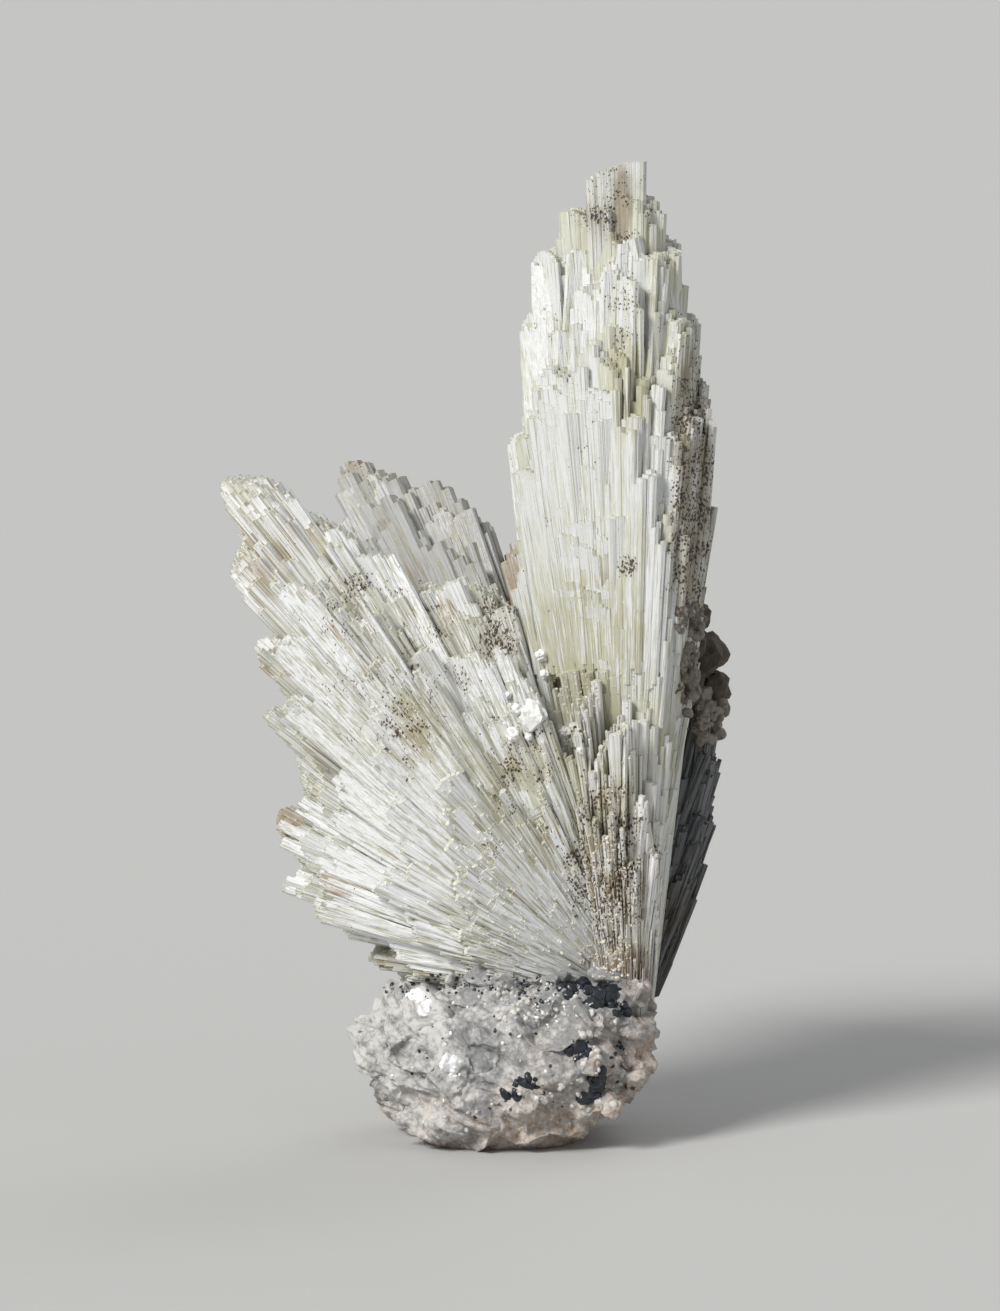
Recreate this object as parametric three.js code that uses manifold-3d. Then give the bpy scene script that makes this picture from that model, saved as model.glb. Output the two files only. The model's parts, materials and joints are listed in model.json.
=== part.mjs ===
// A strontianite specimen: sprays of flat, chisel-tipped crystals that radiate from one corner of a lump of
// matrix rock. Millimetres, +Z up, +X to the right, +Y away from the front. The origin is the middle of the
// flat break that the matrix rests on.
//
// Each spray is one solid, because its crystals are grown together. Neighbouring sprays meet along flat growth
// boundaries that rise from the seat, which is the flat top of the matrix that every spray stands on.

import * as THREE from "three";
import { mergeVertices } from "three/addons/utils/BufferGeometryUtils.js";
import Module from "manifold-3d";

const wasm = await Module();
wasm.setup();

// Driving dimensions. Angles are in degrees. A "swing" runs from 0, level to the left, through 90, straight
// up, to 180, level to the right. A "lean" is positive away from the front. A "turn" is about +Z.
const SEAT_TOP = 11.0; // height of the matrix's flat top, which carries the sprays
const SEAT_GAP = 0.3; // clearance between any two pieces that touch
const CRYSTAL_ROOT = 1.3; // width and thickness of a lead crystal at its root
const SIDE_OVERLAP = 1.3; // how much wider a crystal is than its share of the spray
const RAGGEDNESS = 0.08; // largest random loss of a crystal's reach, as a share of it
const STAGGER = 0.25; // sideways shift of every other layer, as a share of the step between columns
const CHISEL_SLOPE = 0.5; // least slope of the two facets at a crystal's tip
const CHISEL_SLOPE_SPAN = 0.9; // largest random addition to that slope
// Outline of a crystal, as shares of its width and of its thickness.
const CRYSTAL_SECTION = [[-0.5, 0], [-0.28, -0.5], [0.28, -0.5], [0.5, 0], [0.28, 0.5], [-0.28, 0.5]];

// Growth boundaries: planes between the sprays. foot: where the plane crosses the seat's top. level: turn of
// its level line from straight back. rise: [swing, lean, turn] of a line that climbs in it.
const BOUNDARIES = {
  left: { foot: [7.4, 0], level: -9, rise: [76.2, 0, 0] },
  right: { foot: [9.9, 0.5], level: -30, rise: [96.5, 4, 0] },
  front: { foot: [9.0, -1.0], level: -65, rise: [90, -7, 25] },
  back: { foot: [9.0, 2.6], level: -75.4, rise: [84, 9, 0] },
  backMiddle: { foot: [8.4, 3.0], level: 10, rise: [71.8, 0, 0] },
};

// The sprays. sides: the boundaries of a spray; "before" is to the left of one or in front of it, and "after"
// is the other side. grains: rounded calcite grains that sit on it, as [x, y, z, radius].
// A bundle's crystals stand in columns and layers. root: where they point back to. spread: half-width of the
// bundle there. lean: lean of its middle at the first column and at the last. reach: [swing, distance from
// the root to the tip] of each column. layers: [lean from the middle, share of the reach], front to back.
const LEFT_FAN_ROOT = { root: [8.6, 0.6, 10.2], spread: 1.3, turn: 0, seed: 248 };
const LEFT_FAN_REACH = [
  [5, 16.8], [10, 18.8], [15, 21.0], [20, 25.8], [25.5, 28.2], [30.5, 27.4], [35.5, 29.2], [40.5, 32.6],
  [45, 36.4], [49.2, 40.8], [53.6, 44.4], [57.2, 40.6], [60.4, 36.2], [64.2, 32.8], [68.4, 32.0], [72.6, 30.6],
];
const SPRAYS = [
  {
    name: "left_fan",
    sides: { left: "before", back: "before" },
    grains: [[2.3, -5.6, 30.6, 1.1], [0.9, -5.4, 29.2, 0.6]],
    bundles: [
      {
        ...LEFT_FAN_ROOT,
        lean: [-2, 3],
        reach: LEFT_FAN_REACH,
        layers: [[-20, 0.55], [-13.5, 0.76], [-7, 0.91], [0, 1.0], [7, 0.9]],
      },
      {
        ...LEFT_FAN_ROOT,
        lean: [-2, 1],
        reach: LEFT_FAN_REACH.slice(1, 9),
        layers: [[14, 0.78], [20, 0.6]],
      },
    ],
  },
  {
    name: "tall_spray",
    sides: { left: "after", back: "before", right: "before", front: "after" },
    grains: [[14.6, 4.2, 33.8, 1.5], [15.4, 4.8, 31.2, 1.4], [14.2, 4.0, 29.4, 1.3], [13.4, 2.6, 36.6, 1.2]],
    bundles: [
      {
        root: [8.9, 0.8, 4.6],
        spread: 1.3,
        turn: 25,
        seed: 310,
        lean: [0, 0],
        reach: [
          [81.6, 46.5], [83.4, 54.5], [85.2, 59.2], [87.0, 62.4], [89.0, 64.6], [90.8, 63.4], [92.6, 58.6],
          [94.3, 54.0], [96.0, 48.0],
        ],
        layers: [[-5.6, 0.8], [-3.2, 0.92], [-0.8, 1.0], [1.6, 0.975], [4.2, 0.88], [6.6, 0.74]],
      },
    ],
  },
  {
    name: "front_spray",
    sides: { left: "after", front: "before", right: "before" },
    grains: [],
    bundles: [
      {
        root: [9.0, -0.6, 5.0],
        spread: 1.5,
        turn: 12,
        seed: 341,
        lean: [-10.5, -10.5],
        reach: [[78, 20.5], [81.4, 24.5], [84.8, 28.0], [88.2, 26.0], [91.6, 26.6], [95, 21.0], [98.4, 17.0]],
        layers: [[-4.5, 0.8], [0.5, 1.0]],
      },
    ],
  },
  {
    name: "back_spray",
    sides: { back: "after", backMiddle: "before" },
    grains: [],
    bundles: [
      {
        root: [8.6, 3.0, 9.6],
        spread: 1.4,
        turn: 0,
        seed: 310,
        lean: [20, 18],
        reach: [[54.5, 36.0], [57.8, 41.6], [61.2, 43.4], [64.6, 42.6], [68, 40.0], [71.4, 38.0]],
        layers: [[-5, 0.93], [0.5, 1.0], [6, 0.84]],
      },
    ],
  },
  {
    name: "back_middle_spray",
    sides: { back: "after", backMiddle: "after", right: "before" },
    grains: [],
    bundles: [
      {
        root: [9.2, 3.0, 7.6],
        spread: 1.4,
        turn: 0,
        seed: 527,
        lean: [12, 16],
        reach: [
          [70, 36.0], [72.6, 36.4], [75.4, 38.0], [78.2, 37.2], [81.6, 36.5], [85.2, 35.5], [89, 33.0],
          [93, 29.0],
        ],
        layers: [[-1, 0.97], [4, 1.0], [9.5, 0.8]],
      },
    ],
  },
  {
    name: "right_spray",
    sides: { right: "after" },
    grains: [],
    bundles: [
      {
        root: [9.4, 3.0, 8.0],
        spread: 1.0,
        turn: 20,
        seed: 341,
        lean: [9, 7],
        reach: [[95.6, 28.5], [98.4, 27.0], [101.4, 24.4], [104.6, 20.4], [108.0, 15.6]],
        layers: [[-8, 0.82], [0, 1.0], [8, 0.88]],
      },
    ],
  },
];

// The matrix as level outlines: [height, left, right, front, back].
const MATRIX_LEVELS = [
  [0.0, -5.6, 5.4, -5.4, 6.4],
  [1.3, -7.2, 7.2, -7.2, 8.0],
  [3.4, -8.3, 8.9, -8.4, 9.4],
  [5.3, -9.6, 9.9, -8.8, 9.9],
  [7.9, -9.9, 10.3, -8.0, 9.6],
  [9.3, -8.8, 10.5, -6.9, 9.2],
  [11.0, -8.0, 10.9, -5.6, 8.6],
];
const MATRIX_SIDES = 22; // corners of each level outline
const MATRIX_SQUARENESS = 0.45; // 0 for round outlines, 1 for square ones
const MATRIX_TWIST = 0.35; // largest random turn of an outline, as a share of the angle between corners
const MATRIX_PUSH = 0.9; // largest random push of a corner in or out
const MATRIX_EDGE_PUSH = 0.3; // the same, round the flat foot and the flat top
const MATRIX_SWAY = 0.25; // largest random lift or drop of a corner
// Lumps that stand out of the matrix, of calcite, sphalerite and rock: [x, y, z, radius].
const MATRIX_LUMPS = [
  [-5.6, -5.4, 9.6, 1.3], [-3.2, -7.6, 4.9, 1.1], [5.6, -7.4, 6.0, 1.5], [6.4, -6.2, 8.9, 1.4],
  [7.6, -6.4, 3.6, 1.4], [1.8, -7.9, 3.9, 1.2], [-8.8, -4.6, 6.6, 1.5], [9.2, -4.2, 5.4, 1.6],
  [-7.6, 5.4, 8.2, 1.5], [3.4, 8.6, 6.2, 1.7], [8.6, 6.4, 4.4, 1.5], [-3.4, 8.4, 4.0, 1.6],
];
// Pits in the matrix, left by weathered grains: [x, y, z, radius].
const MATRIX_PITS = [
  [-1.2, -9.4, 7.4, 1.5], [3.6, -9.3, 7.6, 1.2], [-6.2, -8.0, 7.2, 1.3], [8.8, -6.4, 7.6, 1.4],
  [-10.4, 1.2, 6.4, 1.6], [11.2, 2.2, 5.6, 1.6], [-4.8, 10.0, 5.6, 1.8], [6.0, 10.2, 7.8, 1.4],
];
const GRAIN_SQUASH = 0.15; // largest random stretch or squeeze of a grain's height and depth
const HALF_SPACE = 200; // size of the block that stands for everything on one side of a plane

const MATERIALS = {
  strontianite: new THREE.MeshStandardMaterial({ color: 0xdfe0d2, roughness: 0.45, metalness: 0 }),
  matrix: new THREE.MeshStandardMaterial({ color: 0xa89f92, roughness: 0.8, metalness: 0 }),
};

const UP = new THREE.Vector3(0, 0, 1);
const radians = THREE.MathUtils.degToRad;

/** A repeatable number from 0 to 1 for the n-th choice. */
function chance(n) {
  const wave = Math.sin(n * 12.9898 + 4.137) * 43758.5453;
  return wave - Math.floor(wave);
}

/** A repeatable number from -1 to 1 for the n-th choice. */
function sway(n) {
  return 2 * chance(n) - 1;
}

/** A manifold-3d solid of a closed three.js geometry. */
function solidOf(geometry) {
  const bare = new THREE.BufferGeometry().setAttribute("position", geometry.getAttribute("position"));
  bare.setIndex(geometry.getIndex());
  const merged = mergeVertices(bare, 1e-5);
  return new wasm.Manifold(
    new wasm.Mesh({
      numProp: 3,
      vertProperties: new Float32Array(merged.getAttribute("position").array),
      triVerts: new Uint32Array(merged.getIndex().array),
    }),
  );
}

/** A three.js geometry of a manifold-3d solid. */
function geometryOf(solid) {
  const mesh = solid.getMesh();
  const geometry = new THREE.BufferGeometry();
  geometry.setAttribute("position", new THREE.BufferAttribute(mesh.vertProperties, 3));
  geometry.setIndex(new THREE.BufferAttribute(mesh.triVerts, 1));
  return geometry;
}

/** The largest shell of a solid, without the slivers and sealed voids that many crystals leave between them. */
function outerShell(solid) {
  return solid.decompose().reduce((largest, shell) => (shell.volume() > largest.volume() ? shell : largest));
}

/** A closed geometry through rings of points of equal count, with a fan of triangles over each end. */
function loft(rings) {
  const count = rings[0].length;
  const last = (rings.length - 1) * count;
  const points = rings.flat();
  const centre = (ring) => ring.reduce((sum, p) => sum.add(p), new THREE.Vector3()).divideScalar(count);
  points.push(centre(rings[0]), centre(rings[rings.length - 1]));
  const faces = [];
  for (let side = 0; side < count; side++) {
    const next = (side + 1) % count;
    for (let ring = 0; ring < last; ring += count) {
      faces.push(ring + side, ring + next, ring + count + next);
      faces.push(ring + side, ring + count + next, ring + count + side);
    }
    faces.push(points.length - 2, next, side);
    faces.push(points.length - 1, last + side, last + next);
  }
  const geometry = new THREE.BufferGeometry().setFromPoints(points);
  geometry.setIndex(faces);
  return geometry;
}

/** The level directions to the right and to the back, turned about +Z. */
function levelFrame(turn) {
  const angle = radians(turn);
  const right = new THREE.Vector3(Math.cos(angle), -Math.sin(angle), 0);
  const back = new THREE.Vector3(Math.sin(angle), Math.cos(angle), 0);
  return { right, back };
}

/** The unit frame of a crystal: along it, across its flat face, and through it. */
function crystalFrame(swing, lean, turn) {
  const { right, back } = levelFrame(turn);
  const [swingSin, swingCos] = [Math.sin(radians(swing)), Math.cos(radians(swing))];
  const upright = new THREE.Vector3().addScaledVector(right, -swingCos).addScaledVector(UP, swingSin);
  const across = new THREE.Vector3().addScaledVector(right, swingSin).addScaledVector(UP, swingCos);
  const along = upright.multiplyScalar(Math.cos(radians(lean))).addScaledVector(back, Math.sin(radians(lean)));
  const through = new THREE.Vector3().crossVectors(along, across).normalize();
  return { along, across, through, right, back };
}

/** The lead crystals of a bundle: their ends, frames and sizes, by the rule of columns and layers. */
function leadCrystals(bundle) {
  const { reach, layers, lean, turn, spread, seed } = bundle;
  const root = new THREE.Vector3(...bundle.root);
  const lastColumn = reach.length - 1;
  const lastLayer = layers.length - 1;
  const crystals = [];
  layers.forEach(([layerLean, share], layer) => {
    const layerStep = layers[Math.max(layer, 1)][0] - layers[Math.max(layer, 1) - 1][0];
    const isLongest = share === 1;
    reach.forEach(([columnSwing, columnReach], column) => {
      const swingStep = reach[Math.max(column, 1)][0] - reach[Math.max(column, 1) - 1][0];
      const draw = seed + reach.length * layer + column;
      const shift = isLongest ? 0 : (layer % 2 ? STAGGER : -STAGGER) * swingStep;
      const middleLean = THREE.MathUtils.lerp(lean[0], lean[1], column / lastColumn);
      const frame = crystalFrame(columnSwing + shift, middleLean + layerLean, turn);
      const length = columnReach * share * (1 - (isLongest ? 0 : RAGGEDNESS) * chance(draw));
      const start = root
        .clone()
        .addScaledVector(frame.right, ((2 * column) / lastColumn - 1) * spread)
        .addScaledVector(frame.back, ((2 * layer) / lastLayer - 1) * spread);
      crystals.push({
        ...frame,
        start,
        tip: root.clone().addScaledVector(frame.along, length),
        width: SIDE_OVERLAP * radians(swingStep) * length,
        thickness: SIDE_OVERLAP * radians(layerStep) * length,
        slope: CHISEL_SLOPE + CHISEL_SLOPE_SPAN * chance(draw + 0.3),
        ridge: chance(draw + 0.6) - 0.5,
      });
    });
  });
  return crystals;
}

/** One lead crystal: a flattened six-sided prism that widens from the root and ends in a slanted chisel. */
function crystalSolid(crystal) {
  const ring = (centre, width, thickness, slope) =>
    CRYSTAL_SECTION.map(([x, y]) =>
      centre
        .clone()
        .addScaledVector(crystal.across, x * width)
        .addScaledVector(crystal.through, y * thickness)
        .addScaledVector(crystal.along, -slope * Math.abs(x - crystal.ridge) * width),
    );
  return solidOf(
    loft([
      ring(crystal.start, CRYSTAL_ROOT, CRYSTAL_ROOT, 0),
      ring(crystal.tip, crystal.width, crystal.thickness, crystal.slope),
    ]),
  );
}

/** A rounded, faceted grain, flattened a little and turned at random. */
function grain([x, y, z, radius], n) {
  const ball = new THREE.IcosahedronGeometry(radius, 1);
  ball.scale(1, 1 + GRAIN_SQUASH * sway(n), 1 + GRAIN_SQUASH * sway(n + 0.5));
  ball.rotateX(2 * Math.PI * chance(n + 0.2)).rotateZ(2 * Math.PI * chance(n + 0.7)).translate(x, y, z);
  ball.deleteAttribute("normal");
  ball.deleteAttribute("uv");
  return solidOf(mergeVertices(ball, 1e-4));
}

/** Everything on the side of a plane that its normal points to. */
function halfSpace(point, normal) {
  const block = new THREE.BoxGeometry(HALF_SPACE, HALF_SPACE, HALF_SPACE);
  block.translate(0, 0, HALF_SPACE / 2);
  block.applyQuaternion(new THREE.Quaternion().setFromUnitVectors(UP, normal));
  block.translate(point.x, point.y, point.z);
  return solidOf(block);
}

/** The part of space on one side of a growth boundary, kept half a gap away from it. */
function sideOf(boundary, side) {
  const [x, y] = boundary.foot;
  const line = levelFrame(boundary.level).back;
  const normal = line.cross(crystalFrame(...boundary.rise).along).normalize();
  if (side === "before") normal.negate();
  const edge = new THREE.Vector3(x, y, SEAT_TOP).addScaledVector(normal, SEAT_GAP / 2);
  return halfSpace(edge, normal);
}

/** A spray's solid: its crystals and grains, joined, then parted from its neighbours and the seat. */
function sprayGeometry({ sides, grains, bundles }) {
  const crystals = bundles.flatMap(leadCrystals).map(crystalSolid);
  const joined = wasm.Manifold.union([...crystals, ...grains.map(grain)]);
  const aboveSeat = halfSpace(new THREE.Vector3(0, 0, SEAT_TOP + SEAT_GAP), UP);
  const parted = Object.entries(sides).reduce(
    (rest, [boundary, side]) => rest.intersect(sideOf(BOUNDARIES[boundary], side)),
    joined.intersect(aboveSeat),
  );
  return geometryOf(outerShell(parted));
}

/** The matrix: a lofted, faceted lump with a flat foot and top, grains that stand out of it, and pits. */
function matrixGeometry() {
  const rings = MATRIX_LEVELS.map(([height, left, right, front, back], level) => {
    const isFlat = level === 0 || level === MATRIX_LEVELS.length - 1;
    const twist = MATRIX_TWIST * chance(level + 0.1);
    return Array.from({ length: MATRIX_SIDES }, (_, side) => {
      const draw = level * MATRIX_SIDES + side;
      const angle = (2 * Math.PI * (side + twist)) / MATRIX_SIDES;
      const [sin, cos] = [Math.sin(angle), Math.cos(angle)];
      const push = (isFlat ? MATRIX_EDGE_PUSH : MATRIX_PUSH) * sway(draw);
      const bulge = Math.max(Math.abs(cos), Math.abs(sin)) ** -MATRIX_SQUARENESS;
      return new THREE.Vector3(
        ((cos > 0 ? right : -left) + push) * cos * bulge,
        ((sin > 0 ? back : -front) + push) * sin * bulge,
        height + (isFlat ? 0 : MATRIX_SWAY * sway(draw + 0.5)),
      );
    });
  });
  const lump = wasm.Manifold.union([solidOf(loft(rings)), ...MATRIX_LUMPS.map(grain)]);
  return geometryOf(outerShell(lump.subtract(wasm.Manifold.union(MATRIX_PITS.map(grain)))));
}

/** A named mesh of the specimen. */
function piece(name, geometry, material) {
  const mesh = new THREE.Mesh(geometry, material);
  mesh.name = name;
  return mesh;
}

const specimen = new THREE.Group();
specimen.add(piece("matrix", matrixGeometry(), MATERIALS.matrix));
for (const spray of SPRAYS) {
  specimen.add(piece(spray.name, sprayGeometry(spray), MATERIALS.strontianite));
}

export default specimen;
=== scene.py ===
"""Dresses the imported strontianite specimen: its needle sprays, matrix rock and grains, in a plain studio.

Lengths are in millimetres where a name ends in _mm or a class says so, and are turned into metres at the end.
Angles are in degrees. A swing runs from 0, level to the left, through 90, straight up, to 180, level to the
right. A lean is positive away from the front, and a turn is about +Z.
"""

from __future__ import annotations

import json
import logging
import math
from collections.abc import Sequence
from dataclasses import dataclass
from enum import Enum
from typing import Any

import bmesh
import bpy
import numpy as np
from mathutils import Matrix, Vector, noise
from mathutils.bvhtree import BVHTree

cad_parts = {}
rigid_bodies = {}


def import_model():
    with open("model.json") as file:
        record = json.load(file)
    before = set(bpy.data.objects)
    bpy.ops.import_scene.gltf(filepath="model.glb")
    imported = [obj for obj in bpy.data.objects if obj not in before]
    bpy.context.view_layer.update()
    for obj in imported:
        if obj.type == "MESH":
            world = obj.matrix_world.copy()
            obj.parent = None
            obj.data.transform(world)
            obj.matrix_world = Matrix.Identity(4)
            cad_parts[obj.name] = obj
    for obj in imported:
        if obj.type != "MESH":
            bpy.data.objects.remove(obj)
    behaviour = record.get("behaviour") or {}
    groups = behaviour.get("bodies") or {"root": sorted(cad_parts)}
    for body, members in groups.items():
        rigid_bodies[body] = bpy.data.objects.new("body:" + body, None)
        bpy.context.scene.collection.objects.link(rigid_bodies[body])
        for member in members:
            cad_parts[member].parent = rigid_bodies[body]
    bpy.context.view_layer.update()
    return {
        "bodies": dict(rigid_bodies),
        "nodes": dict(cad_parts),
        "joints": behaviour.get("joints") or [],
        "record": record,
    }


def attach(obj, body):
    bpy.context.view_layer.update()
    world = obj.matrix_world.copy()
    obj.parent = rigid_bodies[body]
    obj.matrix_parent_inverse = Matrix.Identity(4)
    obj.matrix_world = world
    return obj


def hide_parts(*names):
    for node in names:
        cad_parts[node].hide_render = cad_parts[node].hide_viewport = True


LOG = logging.getLogger("specimen")
MM = 0.001
UP = Vector((0.0, 0.0, 1.0))
EYE = Vector((0.0, -447.5, 81.1))
Color = tuple[float, float, float]
Point = tuple[float, float, float]


class Slot(Enum):
    """The record's material slots."""

    CRYSTAL = "strontianite"
    ROCK = "matrix_rock"


# ----------------------------------------
# Node trees
# ----------------------------------------


class Value:
    """An output socket of a node tree that arithmetic can be written on."""

    def __init__(self, tree: Tree, socket: bpy.types.NodeSocket) -> None:
        """Wraps one socket.

        Args:
            tree: The tree that the socket's node is in.
            socket: The output socket.
        """
        self.tree = tree
        self.socket = socket

    def _math(self, operation: str, *others: Any) -> Value:
        """Adds a Math node on this value.

        Args:
            operation: The Math node's operation.
            others: The other operands, as values or numbers.

        Returns:
            The node's result.
        """
        return self.tree.add("ShaderNodeMath", {"operation": operation}, dict(enumerate((self, *others))))

    def __add__(self, other: Any) -> Value:
        """Returns this value plus another."""
        return self._math("ADD", other)

    __radd__ = __add__

    def __sub__(self, other: Any) -> Value:
        """Returns this value less another."""
        return self._math("SUBTRACT", other)

    def __rsub__(self, other: float) -> Value:
        """Returns a number less this value."""
        return self.tree.add("ShaderNodeMath", {"operation": "SUBTRACT"}, {0: other, 1: self})

    def __mul__(self, other: Any) -> Value:
        """Returns this value times another."""
        return self._math("MULTIPLY", other)

    def __truediv__(self, other: Any) -> Value:
        """Returns this value over another."""
        return self._math("DIVIDE", other)

    def absolute(self) -> Value:
        """Returns this without its sign."""
        return self._math("ABSOLUTE")

    def above(self, other: float) -> Value:
        """Returns 1 where this is greater, and 0 elsewhere."""
        return self._math("GREATER_THAN", other)

    def ramp(self, low: float, high: float) -> Value:
        """Returns 0 below one limit and 1 above the other, with a smooth rise between them.

        Args:
            low: The value that gives 0.
            high: The value that gives 1. It may be the smaller of the two.

        Returns:
            The smooth step.
        """
        limits = {"Value": self, "From Min": min(low, high), "From Max": max(low, high)}
        if low > high:
            limits.update({"To Min": 1.0, "To Max": 0.0})
        return self.tree.add("ShaderNodeMapRange", {"interpolation_type": "SMOOTHSTEP"}, limits)


class Tree:
    """A node tree that is written as expressions."""

    def __init__(self, node_tree: bpy.types.NodeTree) -> None:
        """Wraps a node tree."""
        self.node_tree = node_tree

    def node(self, kind: str, settings: dict[str, Any], inputs: dict[Any, Any]) -> bpy.types.Node:
        """Adds any node.

        Args:
            kind: The node's type.
            settings: Its properties, set first.
            inputs: Values or numbers for its sockets, by name or by number.

        Returns:
            The node.
        """
        node = self.node_tree.nodes.new(kind)
        for name, setting in settings.items():
            setattr(node, name, setting)
        for key, value in inputs.items():
            self.feed(node.inputs[key], value)
        return node

    def add(self, kind: str, settings: dict[str, Any], inputs: dict[Any, Any], output: Any = 0) -> Value:
        """Adds any node and returns one of its outputs as a value."""
        return Value(self, self.node(kind, settings, inputs).outputs[output])

    def feed(self, socket: bpy.types.NodeSocket, value: Any) -> None:
        """Links a value to an input socket, or sets the socket to a number, a color or a vector."""
        if isinstance(value, Value):
            self.node_tree.links.new(value.socket, socket)
        elif socket.type == "RGBA" and len(value) == 3:
            socket.default_value = (*value, 1.0)
        else:
            socket.default_value = value

    def mix(self, first: Any, second: Any, factor: Any) -> Value:
        """Mixes two colors.

        Args:
            first: The color at factor 0.
            second: The color at factor 1.
            factor: The share of the second color.

        Returns:
            The mixed color.
        """
        inputs = {"Factor": factor, 6: first, 7: second}
        return self.add("ShaderNodeMix", {"data_type": "RGBA"}, inputs, output=2)

    def vector(self, operation: str, first: Any, second: Any) -> Value:
        """Adds a Vector Math node and returns its vector."""
        return self.add("ShaderNodeVectorMath", {"operation": operation}, {0: first, 1: second})

    def length(self, vector: Value) -> Value:
        """Returns a vector's length."""
        return self.add("ShaderNodeVectorMath", {"operation": "LENGTH"}, {0: vector}, output="Value")

    def combine(self, x: Any, y: Any, z: Any) -> Value:
        """Returns a vector of three values."""
        return self.add("ShaderNodeCombineXYZ", {}, {0: x, 1: y, 2: z})

    def separate(self, vector: Value) -> list[Value]:
        """Returns the three parts of a vector."""
        node = self.node("ShaderNodeSeparateXYZ", {}, {0: vector})
        return [Value(self, output) for output in node.outputs]

    def noise(self, vector: Value, scale: float, detail: float = 2.0, roughness: float = 0.5) -> Value:
        """Returns fractal noise from 0 to 1.

        Args:
            vector: Where the noise is read.
            scale: How many of its waves go into a unit.
            detail: How many finer layers it has.
            roughness: How strong the finer layers are.

        Returns:
            The noise.
        """
        inputs = {"Vector": vector, "Scale": scale, "Detail": detail, "Roughness": roughness}
        return self.add("ShaderNodeTexNoise", {}, inputs)

    def cells(self, vector: Value, scale: float) -> Value:
        """Returns the distance to the nearest of the scattered centres of a cell pattern."""
        return self.add("ShaderNodeTexVoronoi", {}, {"Vector": vector, "Scale": scale}, output="Distance")

    def attribute(self, name: str, output: str = "Fac") -> Value:
        """Returns one of the piece's own attributes, as a number or as a Vector."""
        return self.add("ShaderNodeAttribute", {"attribute_name": name}, {}, output)


class Finish:
    """A material under construction: its tree, its surface shader and the place that patterns are read at."""

    def __init__(self, name: str) -> None:
        """Starts a material.

        Args:
            name: The material's name.
        """
        self.material = bpy.data.materials.new(name)
        self.material.use_nodes = True
        self.tree = Tree(self.material.node_tree)
        self.shader = self.material.node_tree.nodes["Principled BSDF"]
        place = self.tree.add("ShaderNodeTexCoord", {}, {}, output="Object")
        self.place_mm = self.tree.vector("MULTIPLY", place, (1 / MM, 1 / MM, 1 / MM))

    def set(self, **sockets: Any) -> None:
        """Sets sockets of the surface shader, whose names are given with _ for each space."""
        for name, value in sockets.items():
            self.tree.feed(self.shader.inputs[name.replace("_", " ")], value)

    def bump(self, height: Value, distance_mm: float, strength: float = 1.0) -> None:
        """Raises the surface by a height that runs from 0 to 1.

        Args:
            height: The height.
            distance_mm: How far a height of 1 stands out.
            strength: How much of the effect is used.
        """
        inputs = {"Height": height, "Distance": distance_mm * MM, "Strength": strength}
        self.set(Normal=self.tree.add("ShaderNodeBump", {}, inputs))


# ----------------------------------------
# Finishes
# ----------------------------------------


class Mark(Enum):
    """What a zone of a spray is marked with."""

    FROST = "frost"
    # Olive zones are painted darker and olive, partly as painted shade of gaps and recesses.
    OLIVE_AND_SHADE = "olive_and_shade"
    # Stain zones are tan stains; the one down the tall spray's right side face is partly painted shade.
    STAIN_AND_SHADE = "stain_and_shade"
    SPECKS = "specks"


@dataclass(frozen=True)
class Zone:
    """A soft-edged part of a spray, seen from the front, that is marked more than the rest.

    Attributes:
        mark: What it is marked with.
        x: Its middle's distance to the right, in mm.
        z: Its middle's height, in mm.
        radius: Its radius, in mm.
        strength: How strong the mark is.
        stretch: Its height over its width.
        EDGE: Where the mark fades out and where it is full, as shares of the radius.
    """

    EDGE = (1.15, 0.35)

    mark: Mark
    x: float
    z: float
    radius: float
    strength: float = 1.0
    stretch: float = 1.0

    def mask(self, finish: Finish) -> Value:
        """Returns the mark's strength at each place."""
        scale = (1 / self.radius, 0.0, 1 / (self.radius * self.stretch))
        offset = finish.tree.vector("SUBTRACT", finish.place_mm, (self.x, 0.0, self.z))
        scaled = finish.tree.vector("MULTIPLY", offset, scale)
        return finish.tree.length(scaled).ramp(*self.EDGE) * self.strength


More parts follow.
